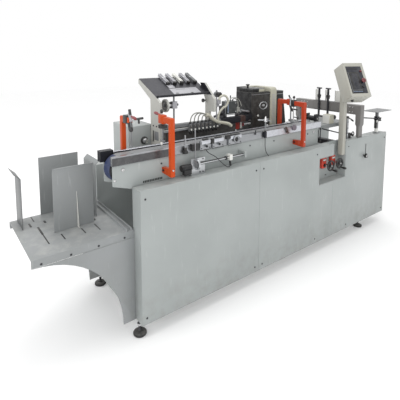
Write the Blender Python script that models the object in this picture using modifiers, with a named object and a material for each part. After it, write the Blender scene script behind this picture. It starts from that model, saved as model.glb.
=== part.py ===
"""Carton laminating machine: a floor standing line with a blank table, a belt
conveyor between two sheet metal side walls, a glue unit and a delivery gantry.

Metres, +Z up, +X along the carton path, +Y away from the operator's side.
Sizes are given from the front left corner of the cabinet at floor level, and the
whole machine hangs on one empty that brings the front left foot to the origin.
"""
import math

import bmesh
import bpy
from mathutils import Matrix, Vector

# Cabinet
CABINET_LENGTH = 2.414
CABINET_DEPTH = 0.66
CABINET_BOTTOM = 0.08
CABINET_TOP = 0.80
WALL_DEPTH = 0.085
SEAM_LEFT = 0.843
RIGHT_BAY = 0.778
SEAM_RIGHT = CABINET_LENGTH - RIGHT_BAY
SHEET = 0.002
FLANGE = 0.018
FRAME_BAR = 0.040
LINER = 0.003
GAP = 0.0003
WALL_TOP = CABINET_TOP - SHEET - GAP

# Levelling feet
FOOT_X = 0.015
FOOT_Y = 0.058
FOOT_INSET_RIGHT = 0.30
FOOT_RADIUS = 0.036
FOOT_PAD = 0.014
STEM_RADIUS = 0.008
NUT_RADIUS = 0.015
NUT_HEIGHT = 0.010

# Control recess in the front wall
RECESS_LEFT = SEAM_RIGHT - 0.174
RECESS_RIGHT = SEAM_RIGHT + 0.159
RECESS_BOTTOM = 0.518
RECESS_STEP_Z = 0.715
RECESS_NECK_LEFT = SEAM_RIGHT + LINER + GAP
RECESS_DEPTH = 0.076

# Handwheels and counters in the recess
WHEEL_X = (RECESS_RIGHT - 0.170, RECESS_RIGHT - 0.053)
WHEEL_Z = 0.632
WHEEL_RADIUS = 0.043
WHEEL_FACE_Y = 0.004
CRANK_OFFSET = (0.008, -0.032)
CRANK_END_Y = -0.038
SPINDLE_RADIUS = 0.006
COUNTER_WIDTH = 0.050
COUNTER_HEIGHT = 0.082
COUNTER_DEPTH = 0.028

# Height setting of the delivery side: a knob and its slot in the front panel
HEIGHT_SLOT_X = SEAM_RIGHT + 0.449
HEIGHT_SLOT_Z = (0.652, 0.740)
HEIGHT_SLOT_WIDTH = 0.009
HEIGHT_KNOB_X = HEIGHT_SLOT_X - 0.025
HEIGHT_KNOB_Z = 0.645
HEIGHT_KNOB_RADIUS = 0.020
HEIGHT_KNOB_STAND = 0.026

# Blank table
TABLE_LEFT = -0.499
TABLE_FRONT = 0.072
TABLE_BACK = 0.559
TABLE_TOP = 0.576
TABLE_SKIRT = 0.040
TABLE_SHEET = 0.003
SLOT_WIDTH = 0.010
ARCH_THICKNESS = 0.003
ARCH_FOOT = 0.070
LIP_HEIGHT = 0.014
LIP_SHEET = 0.005
LIP_POSITIONS = (-0.040, -0.014)

# Upright plates of the blank hopper
PLATE_SHEET = 0.003
PLATE_LEFT_X = TABLE_LEFT + 0.037
PLATE_LEFT_Y = (0.405, 0.545)
PLATE_LEFT_TOP = TABLE_TOP + 0.269
PLATE_LEFT_LEAN = 0.030
PLATE_BACK_Y = TABLE_BACK - 0.007
PLATE_BACK_X = (-0.340, -0.120)
PLATE_BACK_TOP = TABLE_TOP + 0.329
PLATE_FRONT_Y = PLATE_BACK_Y - 0.267
PLATE_FRONT_X = (-0.340, -0.132)
PLATE_FRONT_TOP = TABLE_TOP + 0.304
PLATE_FRONT_LEAN = (0.015, 0.030)
PLATE_RIGHT_X = -0.095
PLATE_RIGHT_Y = (0.340, 0.520)
PLATE_RIGHT_TOP = TABLE_TOP + 0.294
PLATE_LIP = 0.022

# Conveyor
CONVEYOR_LEFT = -0.104
CONVEYOR_RIGHT = 1.575
SIDE_FRONT_Y = 0.090
SIDE_REAR_Y = 0.196
SIDE_SHEET = 0.006
SIDE_BOTTOM = 0.7855
RAIL_BOTTOM = 0.925
RAIL_TOP = 0.972
RAIL_DEPTH = 0.020
BELT_FRONT = 0.1015
BELT_WIDTH = 0.064
BELT_TOP = 0.968
BELT_THICKNESS = 0.004
ROLLER_RADIUS = 0.066
HEAD_ROLLER_X = -0.048
TAIL_ROLLER_X = CONVEYOR_RIGHT - 0.076
SHAFT_RADIUS = 0.008
NOSE_LENGTH = 0.070
NOSE_WIDTH = 0.040

# Cross beams between the side walls
BEAM_WIDTH = 0.05
BEAM_HEIGHT = 0.04
BEAM_TOP = SIDE_BOTTOM - 0.0005
BEAM_LEFT = 0.320
BEAM_MIDDLE = CONVEYOR_RIGHT - 0.425
BEAM_EXIT = CONVEYOR_RIGHT + 0.225

# Side guides and spindles on the front rail
GUIDE_REACH = 0.022
DARK_GUIDE_X = (0.360, 0.410)
BRIGHT_GUIDE_X = ((0.425, 0.500), (0.515, 0.600), (0.640, 0.745))
STAR_SPINDLE_X = 0.957
STAR_SPINDLE_TOP = 1.072
STAR_ARM = 0.050
PIN_SPINDLE_X = 0.319
PIN_SPINDLE_TOP = 1.008

# Cross shaft in front of the conveyor
SHAFT_Y = 0.050
SHAFT_Z = 0.862
CROSS_SHAFT_RADIUS = 0.0075
SHAFT_PLATE_X = (0.344, 0.441)
SHAFT_PLATE_TOP = SHAFT_Z + 0.032
SHAFT_PLATE_SHEET = 0.006
SHAFT_FLANGE_X = 0.378
SHAFT_FLANGE_RADIUS = 0.031
SHAFT_END_X = 0.745
SHAFT_CLAMP_X = 0.623

# Orange C brackets that carry the hold-down gear
BRACKET_TUBE = 0.025
BRACKET_LOW = 0.835
BRACKET_HIGH = 1.147
BRACKET_FRONT_Y = -0.004
BRACKET_REAR_Y = 0.262
FRONT_BRACKET_FROM_TAIL = 0.315
REAR_BRACKET_FROM_TAIL = 0.287
FRONT_BRACKET_X = (0.180, CONVEYOR_RIGHT - FRONT_BRACKET_FROM_TAIL)
REAR_BRACKET_X = (0.020, CONVEYOR_RIGHT - REAR_BRACKET_FROM_TAIL)
BRACKET_ARM = 0.105
ARM_DEPTH = 0.034
BRACKET_FOOT_Z = (0.005, 0.036, 0.042)

# Clamp, screw and pressing shoe at the end of each bracket's top arm
CLAMP_WIDTH = 0.034
CLAMP_LENGTH = 0.030
CLAMP_DROP = 0.052
CLAMP_RISE = 0.008
SCREW_RADIUS = 0.0045
SLEEVE_RADIUS = 0.008
LEVER_RADIUS = 0.0045
GRIP_RADIUS = 0.0085
GRIP_LENGTH = 0.044
SHOE_LIFT = 0.028
SHOE_LENGTH = 0.070
SHOE_WIDTH = 0.020
SHOE_HEIGHT = 0.012

# Carrier rail behind the conveyor, with its leg and a row of valves
CARRIER_X = (BEAM_LEFT - 0.020, 1.060)
CARRIER_Y = (0.335, 0.375)
CARRIER_Z = (0.993, 1.035)
VALVES = 8
VALVE_X = 0.535
VALVE_PITCH = 0.031
VALVE_WIDTH = 0.021
VALVE_DEPTH = 0.020
VALVE_Z = (0.984, 1.032)
FITTING_RADIUS = 0.006
FITTING_LOW = 0.966

# Air tubes from the valves into a ribbed hose
TUBE_RADIUS = 0.0032
HOSE_RADIUS = 0.0115
HOSE_Y = 0.300
HOSE_ROUTE = (
    (0.640, 1.083), (0.668, 1.077), (0.702, 1.048), (0.745, 1.026),
    (0.800, 1.012), (0.835, 1.003), (0.862, 0.985),
)
LOOP_CENTRE = (0.800, 1.152)
LOOP_RADIUS = 0.050
LOOP_HOSE_RADIUS = 0.009

# Inclined tool rack on its column and rod
COLUMN_X = 0.694
COLUMN_SHEET = 0.020
COLUMN_FRONT = 0.282
COLUMN_SHOULDER_Z = 1.185
COLUMN_NOTCH_Z = 1.100
COLUMN_LEAN = 0.106
COLUMN_TIP = 0.043
COLUMN_TOP = 1.285
RACK_X = (0.290, COLUMN_X + 0.004)
RACK_FRONT_Y = 0.330
RACK_FRONT_Z = 1.218
RACK_SLOPE = math.radians(25)
RACK_REACH = 0.240
RACK_SHEET = 0.004
RACK_BARS = 5
RACK_BAR_LEFT = 0.450
RACK_BAR_PITCH = 0.0545
RACK_BAR_RUN = (0.140, 0.262)
RACK_BAR_RADIUS = 0.007
RACK_ROD_X = 0.430
RACK_ROD_RADIUS = 0.0055
RACK_CHEEK_Y = (0.283, 0.395)
RACK_CHEEK_SHEET = 0.014
RACK_CHEEK_SHOULDER_Z = 1.190
RACK_CHEEK_DEPTH = 0.030

# Guide disc on the rack's rod, and the sensor rod
DISC_X = 0.360
DISC_Z = 1.160
DISC_RADIUS = 0.041
DISC_THICKNESS = 0.016
STANDOFF_RADIUS = 0.0055
SENSOR_X = 0.777
SENSOR_TOP = 1.234
SENSOR_ROD_RADIUS = 0.0045
SENSOR_BLOCK_Z = (1.120, 1.165)

# Glue unit
TANK_X = (1.137, 1.335)
TANK_Y = (0.380, 0.555)
TANK_BOTTOM = BEAM_TOP + 0.095
TANK_TOP = 1.190
TANK_LID = 0.025
TANK_KNOB = (1.180, 0.470)
CASING_RIGHT = 1.404
CASING_BACK = 0.600
CASING_TOP = 1.220
CASING_ROUND = 0.026
CASING_INSET = 0.045
DRIVE_RIGHT = 1.530
DRIVE_FLARE = 0.040
DRIVE_TOP = 1.180

# Glue applicator between the carrier rail and the tank
APPLICATOR_BODY_X = (0.890, 0.990)
APPLICATOR_BODY_Z = (1.050, 1.141)
APPLICATOR_BACK = 0.440
APPLICATOR_COLUMN_X = 0.861
COIL_X = 1.008
COIL_RADIUS = 0.025
COIL_Z = (0.928, 1.017)

# Electric box behind the conveyor head
BOX_X = (0.137, 0.300)
BOX_Y = (0.400, 0.620)
BOX_TOP = 1.046

# Delivery gantry
GANTRY_FROM_END = 0.424
GANTRY_WIDTH = 0.055
GANTRY_X = (CABINET_LENGTH - GANTRY_FROM_END, CABINET_LENGTH - GANTRY_FROM_END + GANTRY_WIDTH)
GANTRY_TOP = 1.065
GANTRY_BEAM = 0.080
GANTRY_LEG = 0.046
GANTRY_ANKLE = 0.025
GANTRY_TAPER_Z = 0.895

# Press screws on the gantry's beam
PRESS_Y = (0.300, 0.390)
PRESS_SCREW_RADIUS = 0.009
PRESS_SCREW_Z = (0.935, 1.185)
PRESS_PLATE_SHEET = 0.008
PRESS_BLADES_Y = ((0.200, 0.255), (0.322, 0.350), (0.408, 0.450))
PRESS_PLATE_EDGE = 0.006
PRESS_BLADE_TOP = 1.165

# Delivery bed between the conveyor and the gantry
EXIT_X = (CONVEYOR_RIGHT + 0.012, CONVEYOR_RIGHT + 0.460)
EXIT_Y = (0.150, 0.430)
EXIT_TOP = 0.915
EXIT_DEPTH = 0.030
EXIT_SHEET = 0.003
EXIT_BOX_X = (CONVEYOR_RIGHT + 0.210, CONVEYOR_RIGHT + 0.273)
EXIT_BOX_DEPTH = 0.067
EXIT_BOX_TOP = EXIT_TOP + 0.072
EXIT_LEG_WIDTH = 0.040
EXIT_KNOB_RADIUS = 0.018
EXIT_POST_X = CONVEYOR_RIGHT + 0.319
EXIT_POST_Y = 0.061
EXIT_POST = 0.018
EXIT_POST_TOP = EXIT_TOP + 0.050

# Operator pendant
PENDANT_POST_LOW = 0.695
PENDANT_POST_Y = 0.006
PENDANT_POST = 0.040
PENDANT_FRONT = Vector((RECESS_RIGHT - 0.060, -0.100, 1.292))
PENDANT_WIDTH = 0.165
PENDANT_HEIGHT = 0.272
PENDANT_DEPTH = 0.120
PENDANT_FACE_U = (-0.068, 0.062)
PENDANT_FACE_V = (-0.110, 0.107)
PENDANT_STOP = (0.046, -0.013)
PENDANT_TILT = math.radians(28.5)
PENDANT_TURN = math.radians(-23)

# Plate stand at the delivery end
STAND_X = CABINET_LENGTH - 0.117
STAND_Y = 0.030
STAND_PLATE_Z = 0.998
STAND_PLATE = (0.238, 0.126, 0.004)
STAND_LINK_Z = (0.958, 0.925)
STAND_LINK_RADIUS = 0.005

TURNED_SIDES = 24
FINE_SIDES = 12


def clear_scene():
    """Remove whatever the file holds, without closing the file."""
    for item in list(bpy.data.objects):
        bpy.data.objects.remove(item, do_unlink=True)


def new_collection(name):
    collection = bpy.data.collections.new(name)
    bpy.context.scene.collection.children.link(collection)
    return collection


def paint(name, colour, roughness, metallic=0.0):
    """A plain Principled material."""
    material = bpy.data.materials.new(name)
    material.use_nodes = True
    shader = material.node_tree.nodes["Principled BSDF"]
    shader.inputs["Base Color"].default_value = (*colour, 1.0)
    shader.inputs["Roughness"].default_value = roughness
    shader.inputs["Metallic"].default_value = metallic
    return material


clear_scene()
MACHINE = new_collection("carton_laminating_machine")
CUTTERS = new_collection("cutters")
DATUM = bpy.data.objects.new("front_left_foot_datum", None)
MACHINE.objects.link(DATUM)
DATUM.location = (-FOOT_X, -FOOT_Y, 0.0)

CABINET_GREY = paint("cabinet_grey", (0.43, 0.46, 0.45), 0.45)
TABLE_GREY = paint("table_grey", (0.33, 0.35, 0.36), 0.5)
BRACKET_ORANGE = paint("bracket_orange", (0.70, 0.12, 0.03), 0.45)
BRIGHT_METAL = paint("bright_metal", (0.75, 0.76, 0.78), 0.3, 1.0)
DARK_STEEL = paint("dark_steel", (0.06, 0.06, 0.065), 0.5, 0.3)
BLACK_PLASTIC = paint("black_plastic", (0.02, 0.02, 0.02), 0.4)
BELT_BLUE = paint("belt_blue", (0.03, 0.10, 0.25), 0.6)
TANK_DARK = paint("tank_dark", (0.035, 0.035, 0.038), 0.5)
CASING_BEIGE = paint("casing_beige", (0.55, 0.53, 0.44), 0.5)
STOP_RED = paint("stop_red", (0.60, 0.02, 0.02), 0.35)
COUNTER_RED = paint("counter_red", (0.65, 0.07, 0.03), 0.4)
RUBBER = paint("rubber", (0.03, 0.03, 0.03), 0.8)
SCREEN = paint("screen", (0.03, 0.05, 0.08), 0.15)


def adopt(obj, material):
    """Put an object in the machine's collection, under the datum, in one material."""
    for owner in list(obj.users_collection):
        owner.objects.unlink(obj)
    MACHINE.objects.link(obj)
    obj.parent = DATUM
    obj.data.materials.clear()
    obj.data.materials.append(material)
    return obj


def frozen(obj):
    """The object's evaluated mesh with its place in its vertices, as a new mesh."""
    bpy.context.view_layer.update()
    graph = bpy.context.evaluated_depsgraph_get()
    mesh = bpy.data.meshes.new_from_object(obj.evaluated_get(graph))
    mesh.transform(obj.matrix_world)
    return mesh


def settle(obj):
    """Turn an unparented object, modifiers and all, into a plain closed mesh."""
    mesh = frozen(obj)
    work = bmesh.new()
    work.from_mesh(mesh)
    bmesh.ops.remove_doubles(work, verts=work.verts, dist=0.00001)
    work.to_mesh(mesh)
    work.free()
    name = obj.name
    bpy.data.objects.remove(obj, do_unlink=True)
    solid = bpy.data.objects.new(name, mesh)
    bpy.context.scene.collection.objects.link(solid)
    solid.name = name
    return solid


def block(name, low, high):
    """A box between two corners."""
    bpy.ops.mesh.primitive_cube_add(size=1.0)
    obj = bpy.context.object
    obj.name = name
    size = [high[i] - low[i] for i in range(3)]
    centre = [(high[i] + low[i]) / 2 for i in range(3)]
    obj.data.transform(Matrix.Translation(centre) @ Matrix.Diagonal((*size, 1.0)))
    return obj


def rod(name, start, end, radius, sides=FINE_SIDES):
    """A round bar between two points."""
    start = Vector(start)
    end = Vector(end)
    axis = end - start
    bpy.ops.mesh.primitive_cylinder_add(vertices=sides, radius=radius, depth=axis.length)
    obj = bpy.context.object
    obj.name = name
    turn = axis.to_track_quat("Z", "Y").to_matrix().to_4x4()
    obj.data.transform(Matrix.Translation((start + end) / 2) @ turn)
    return obj


def outline(name, points, thickness, matrix, holes=()):
    """A flat outline in its own XY plane, as thick as given, placed by a matrix."""
    curve = bpy.data.curves.new(name, "CURVE")
    curve.dimensions = "2D"
    curve.fill_mode = "BOTH"
    curve.extrude = thickness / 2
    for ring in (points, *holes):
        spline = curve.splines.new("POLY")
        spline.points.add(len(ring) - 1)
        for point, (u, v) in zip(spline.points, ring):
            point.co = (u, v, 0.0, 1.0)
        spline.use_cyclic_u = True
    obj = bpy.data.objects.new(name, curve)
    bpy.context.scene.collection.objects.link(obj)
    obj.matrix_world = matrix
    return settle(obj)


def facing_front(y):
    """Outline axes u = X and v = Z, with the plate's middle at this Y."""
    return Matrix.Translation((0, y, 0)) @ Matrix.Rotation(math.pi / 2, 4, "X")


def facing_side(x):
    """Outline axes u = Y and v = Z, with the plate's middle at this X."""
    turn = Matrix(((0, 0, 1, 0), (1, 0, 0, 0), (0, 1, 0, 0), (0, 0, 0, 1)))
    return Matrix.Translation((x, 0, 0)) @ turn


def folded(name, path, thickness, start, end, axis="X"):
    """A folded sheet: an open path in the plane across an axis, drawn out along it."""
    rows = []
    for along in (start, end):
        if axis == "X":
            rows.append([(along, a, b) for a, b in path])
        elif axis == "Y":
            rows.append([(a, along, b) for a, b in path])
        else:
            rows.append([(a, b, along) for a, b in path])
    count = len(path)
    faces = [(i, i + 1, count + i + 1, count + i) for i in range(count - 1)]
    mesh = bpy.data.meshes.new(name)
    mesh.from_pydata(rows[0] + rows[1], [], faces)
    obj = bpy.data.objects.new(name, mesh)
    bpy.context.scene.collection.objects.link(obj)
    wall = obj.modifiers.new("wall", "SOLIDIFY")
    wall.thickness = thickness
    wall.offset = 0.0
    wall.use_even_offset = True
    return settle(obj)


def wire(name, points, radius, sides_resolution=2):
    """A bent wire or hose through a list of points."""
    curve = bpy.data.curves.new(name, "CURVE")
    curve.dimensions = "3D"
    curve.bevel_depth = radius
    curve.bevel_resolution = sides_resolution
    curve.use_fill_caps = True
    spline = curve.splines.new("POLY")
    spline.points.add(len(points) - 1)
    for point, place in zip(spline.points, points):
        point.co = (*place, 1.0)
    obj = bpy.data.objects.new(name, curve)
    bpy.context.scene.collection.objects.link(obj)
    return settle(obj)


def turned(name, profile, centre, direction, sides=TURNED_SIDES):
    """A turned piece: (radius, height) pairs from the top down, closed on the axis."""
    mesh = bpy.data.meshes.new(name)
    points = [(radius, 0.0, height) for radius, height in profile]
    edges = [(i, i + 1) for i in range(len(points) - 1)]
    mesh.from_pydata(points, edges, [])
    obj = bpy.data.objects.new(name, mesh)
    bpy.context.scene.collection.objects.link(obj)
    screw = obj.modifiers.new("turn", "SCREW")
    screw.axis = "Z"
    screw.steps = sides
    screw.render_steps = sides
    screw.use_merge_vertices = True
    screw.merge_threshold = 0.00001
    turn = Vector(direction).to_track_quat("Z", "Y").to_matrix().to_4x4()
    obj.matrix_world = Matrix.Translation(centre) @ turn
    return settle(obj)


def combine(obj, others, operation):
    """Boolean one solid with others, and drop the others."""
    for other in others:
        for owner in list(other.users_collection):
            owner.objects.unlink(other)
        CUTTERS.objects.link(other)
        other.hide_render = True
        other.display_type = "WIRE"
        step = obj.modifiers.new(operation.lower(), "BOOLEAN")
        step.operation = operation
        step.solver = "EXACT"
        step.object = other
    solid = settle(obj)
    for other in others:
        bpy.data.objects.remove(other, do_unlink=True)
    return solid


def fuse(obj, *others):
    return combine(obj, others, "UNION")


def cut(obj, *others):
    return combine(obj, others, "DIFFERENCE")


def soften(obj, width, segments=2, angle=math.radians(40)):
    """Rounded edges on a finished solid."""
    bevel = obj.modifiers.new("edge", "BEVEL")
    bevel.width = width
    bevel.segments = segments
    bevel.limit_method = "ANGLE"
    bevel.angle_limit = angle
    return settle(obj)


def mirrored_y(obj, name, middle):
    """A copy mirrored front to back about a plane."""
    mesh = obj.data.copy()
    mesh.transform(Matrix.Translation((0, 2 * middle, 0)) @ Matrix.Diagonal((1, -1, 1, 1)))
    mesh.flip_normals()
    copy = bpy.data.objects.new(name, mesh)
    bpy.context.scene.collection.objects.link(copy)
    return copy


MID_Y = CABINET_DEPTH / 2


def skin_panel(name, left, right):
    """A front panel folded over the top and under the bottom of the wall."""
    half = SHEET / 2
    path = [
        (FLANGE, CABINET_TOP - half),
        (half, CABINET_TOP - half),
        (half, CABINET_BOTTOM + half),
        (FLANGE, CABINET_BOTTOM + half),
    ]
    return folded(name, path, SHEET, left + GAP, right - GAP)


def recess_hole(name, grow):
    """The stepped hole that the control recess fills, open at the top."""
    points = [
        (RECESS_LEFT - grow, RECESS_BOTTOM - grow),
        (RECESS_RIGHT + grow, RECESS_BOTTOM - grow),
        (RECESS_RIGHT + grow, CABINET_TOP + 0.02),
        (RECESS_NECK_LEFT - grow, CABINET_TOP + 0.02),
        (RECESS_NECK_LEFT - grow, RECESS_STEP_Z + grow),
        (RECESS_LEFT - grow, RECESS_STEP_Z + grow),
    ]
    return outline(name, points, 2 * RECESS_DEPTH + 2 * grow, facing_front(0.0))


def build_front_panels():
    spans = {
        "front_panel_left": (0.0, SEAM_LEFT),
        "front_panel_middle": (SEAM_LEFT, SEAM_RIGHT),
        "front_panel_right": (SEAM_RIGHT, CABINET_LENGTH),
    }
    for name, (left, right) in spans.items():
        panel = skin_panel(name, left, right)
        rear = mirrored_y(panel, name.replace("front", "rear"), MID_Y)
        if name != "front_panel_left":
            panel = cut(panel, recess_hole("recess_cutter", LINER + GAP))
        if name == "front_panel_right":
            slot = block(
                "slot",
                (HEIGHT_SLOT_X - HEIGHT_SLOT_WIDTH / 2, -0.01, HEIGHT_SLOT_Z[0]),
                (HEIGHT_SLOT_X + HEIGHT_SLOT_WIDTH / 2, 0.01, HEIGHT_SLOT_Z[1]),
            )
            panel = cut(panel, slot)
        adopt(panel, CABINET_GREY)
        adopt(rear, CABINET_GREY)


def build_side_frames():
    """Each side wall: a liner sheet with posts and rails, open towards its panels."""
    front = SHEET + GAP
    low = CABINET_BOTTOM + SHEET + GAP
    high = WALL_TOP
    frame = block("side_frame_front", (0.0, front, low), (CABINET_LENGTH, WALL_DEPTH, high))
    posts = (0.0, SEAM_LEFT - FRAME_BAR / 2, SEAM_RIGHT - FRAME_BAR / 2, CABINET_LENGTH - FRAME_BAR)
    pockets = []
    for left, right in zip(posts, posts[1:]):
        pocket = block(
            "pocket",
            (left + FRAME_BAR, -0.01, low + FRAME_BAR),
            (right, WALL_DEPTH - LINER, high - FRAME_BAR),
        )
        pockets.append(pocket)
    frame = cut(frame, *pockets)
    rear = mirrored_y(frame, "side_frame_rear", MID_Y)
    frame = cut(frame, recess_hole("recess_cutter", LINER + GAP))
    adopt(frame, CABINET_GREY)
    adopt(rear, CABINET_GREY)


def build_recess():
    shell = recess_hole("control_recess", LINER)
    front_trim = block("trim", (1.0, -0.3, 0.0), (2.2, 0.0, 1.0))
    top_trim = block("trim", (1.0, -0.3, CABINET_TOP), (2.2, 0.3, 1.0))
    back_trim = block("trim", (1.0, WALL_DEPTH - LINER - 0.002, 0.0), (2.2, 0.3, 1.0))
    shell = cut(shell, recess_hole("hollow", 0.0), front_trim, top_trim, back_trim)
    adopt(shell, CABINET_GREY)


def build_end_walls():
    """Closing sheets between the two side walls at the ends, below the table."""
    for name, x in (("end_panel_left", 0.0), ("end_panel_right", CABINET_LENGTH - SHEET)):
        panel = block(
            name,
            (x, WALL_DEPTH + GAP, CABINET_BOTTOM),
            (x + SHEET, CABINET_DEPTH - WALL_DEPTH - GAP, TABLE_TOP - TABLE_SKIRT),
        )
        adopt(panel, CABINET_GREY)


def build_cross_beams():
    for index, x in enumerate((BEAM_LEFT, BEAM_MIDDLE, BEAM_EXIT), start=1):
        beam = block(
            f"cross_beam_{index}",
            (x - BEAM_WIDTH / 2, WALL_DEPTH + GAP, BEAM_TOP - BEAM_HEIGHT),
            (x + BEAM_WIDTH / 2, CABINET_DEPTH - WALL_DEPTH - GAP, BEAM_TOP),
        )
        adopt(beam, DARK_STEEL)


def build_feet():
    right_x = CABINET_LENGTH - FOOT_INSET_RIGHT
    places = {
        "foot_front_left": (FOOT_X, FOOT_Y),
        "foot_front_right": (right_x, FOOT_Y),
        "foot_rear_left": (FOOT_X, CABINET_DEPTH - FOOT_Y),
        "foot_rear_right": (right_x, CABINET_DEPTH - FOOT_Y),
    }
    top = CABINET_BOTTOM + SHEET
    profile = [
        (0.0, top),
        (STEM_RADIUS, top),
        (STEM_RADIUS, CABINET_BOTTOM - 0.016),
        (NUT_RADIUS, CABINET_BOTTOM - 0.018),
        (NUT_RADIUS, CABINET_BOTTOM - 0.018 - NUT_HEIGHT),
        (STEM_RADIUS, CABINET_BOTTOM - 0.020 - NUT_HEIGHT),
        (STEM_RADIUS, FOOT_PAD + 0.010),
        (STEM_RADIUS + 0.006, FOOT_PAD + 0.006),
        (FOOT_RADIUS - 0.004, FOOT_PAD),
        (FOOT_RADIUS, FOOT_PAD - 0.004),
        (FOOT_RADIUS, 0.003),
        (FOOT_RADIUS - 0.003, 0.0),
        (0.0, 0.0),
    ]
    for name, (x, y) in places.items():
        foot = turned(name, profile, (x, y, 0.0), (0, 0, 1))
        adopt(foot, RUBBER)


def build_controls():
    """Two spindles with counters and cranked handwheels, inside the recess."""
    back = RECESS_DEPTH - GAP
    for side, x in zip(("left", "right"), WHEEL_X):
        counter = block(
            f"counter_{side}",
            (x - COUNTER_WIDTH - 0.010, back - COUNTER_DEPTH, WHEEL_Z - 0.022),
            (x - 0.010, back, WHEEL_Z - 0.022 + COUNTER_HEIGHT),
        )
        counter = soften(counter, 0.004)
        adopt(counter, COUNTER_RED)
        profile = [
            (0.0, 0.010),
            (0.010, 0.010),
            (0.012, 0.002),
            (WHEEL_RADIUS - 0.010, 0.0),
            (WHEEL_RADIUS - 0.008, 0.006),
            (WHEEL_RADIUS - 0.003, 0.008),
            (WHEEL_RADIUS, 0.003),
            (WHEEL_RADIUS, -0.003),
            (WHEEL_RADIUS - 0.004, -0.006),
            (0.012, -0.004),
            (0.010, -0.016),
            (0.0, -0.016),
        ]
        wheel = turned(f"handwheel_{side}", profile, (x, WHEEL_FACE_Y + 0.012, WHEEL_Z), (0, -1, 0))
        crank_x = x + CRANK_OFFSET[0]
        crank_z = WHEEL_Z + CRANK_OFFSET[1]
        grip = rod("grip", (crank_x, WHEEL_FACE_Y + 0.012, crank_z), (crank_x, CRANK_END_Y, crank_z), 0.007)
        spindle = rod("spindle", (x, WHEEL_FACE_Y + 0.012, WHEEL_Z), (x, back, WHEEL_Z), SPINDLE_RADIUS)
        wheel = fuse(wheel, grip, spindle)
        adopt(wheel, BLACK_PLASTIC)


def build_table():
    half = TABLE_SHEET / 2
    high = TABLE_TOP - half
    low = TABLE_TOP - TABLE_SKIRT + half
    path = [
        (TABLE_FRONT + half, low),
        (TABLE_FRONT + half, high),
        (TABLE_BACK - half, high),
        (TABLE_BACK - half, low),
    ]
    table = folded("blank_table", path, TABLE_SHEET, TABLE_LEFT, -GAP)
    slots = (
        (-0.392, 0.30, 0.40),
        (-0.300, 0.295, 0.33),
        (-0.196, 0.29, 0.345),
        (-0.120, 0.30, 0.345),
        (-0.420, 0.42, 0.47),
        (-0.345, 0.43, 0.46),
        (-0.035, 0.44, 0.48),
    )
    cutters = []
    for x, y_low, y_high in slots:
        cutters.append(
            block(
                "slot",
                (x - SLOT_WIDTH / 2, y_low, high - 0.01),
                (x + SLOT_WIDTH / 2, y_high, high + 0.01),
            )
        )
    table = cut(table, *cutters)
    lips = []
    for x in LIP_POSITIONS:
        low = (x - LIP_SHEET / 2, TABLE_FRONT + 0.004, TABLE_TOP - 0.001)
        lips.append(block("lip", low, (x + LIP_SHEET / 2, TABLE_BACK - 0.004, TABLE_TOP + LIP_HEIGHT)))
    table = fuse(table, *lips)
    adopt(table, TABLE_GREY)


def arch_points():
    """Outline of the arched side panel below the table: a quarter of an ellipse."""
    top = TABLE_TOP - TABLE_SKIRT - GAP
    reach = -TABLE_LEFT - ARCH_FOOT
    drop = top - CABINET_BOTTOM
    points = [(-GAP, top), (TABLE_LEFT, top)]
    steps = 14
    for step in range(1, steps + 1):
        angle = math.pi / 2 * step / steps
        points.append((TABLE_LEFT + reach * math.sin(angle), CABINET_BOTTOM + drop * math.cos(angle)))
    points.append((-GAP, CABINET_BOTTOM))
    return points


def build_arches():
    for name, y in (("arch_panel_front", TABLE_FRONT + 0.0015), ("arch_panel_rear", TABLE_BACK - 0.0015)):
        panel = outline(name, arch_points(), ARCH_THICKNESS, facing_front(y))
        adopt(panel, TABLE_GREY)


def build_guide_plates():
    base = TABLE_TOP + GAP
    left = folded(
        "guide_plate_left",
        [(PLATE_LEFT_X, base), (PLATE_LEFT_X, PLATE_LEFT_TOP),
         (PLATE_LEFT_X - PLATE_LEFT_LEAN, PLATE_LEFT_TOP + PLATE_LEFT_LEAN)],
        PLATE_SHEET, *PLATE_LEFT_Y, axis="Y",
    )
    adopt(left, TABLE_GREY)
    back = folded(
        "guide_plate_back",
        [(PLATE_BACK_Y, base), (PLATE_BACK_Y, PLATE_BACK_TOP)],
        PLATE_SHEET, *PLATE_BACK_X, axis="X",
    )
    adopt(back, TABLE_GREY)
    lean, rise = PLATE_FRONT_LEAN
    front = folded(
        "guide_plate_front",
        [
            (PLATE_FRONT_Y, base),
            (PLATE_FRONT_Y, PLATE_FRONT_TOP),
            (PLATE_FRONT_Y - lean, PLATE_FRONT_TOP + rise),
        ],
        PLATE_SHEET, *PLATE_FRONT_X, axis="X",
    )
    adopt(front, TABLE_GREY)
    right = folded(
        "guide_plate_right",
        [
            (PLATE_RIGHT_X, base),
            (PLATE_RIGHT_X, PLATE_RIGHT_TOP),
            (PLATE_RIGHT_X + PLATE_LIP, PLATE_RIGHT_TOP + PLATE_LIP),
        ],
        PLATE_SHEET, *PLATE_RIGHT_Y, axis="Y",
    )
    adopt(right, TABLE_GREY)


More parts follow.
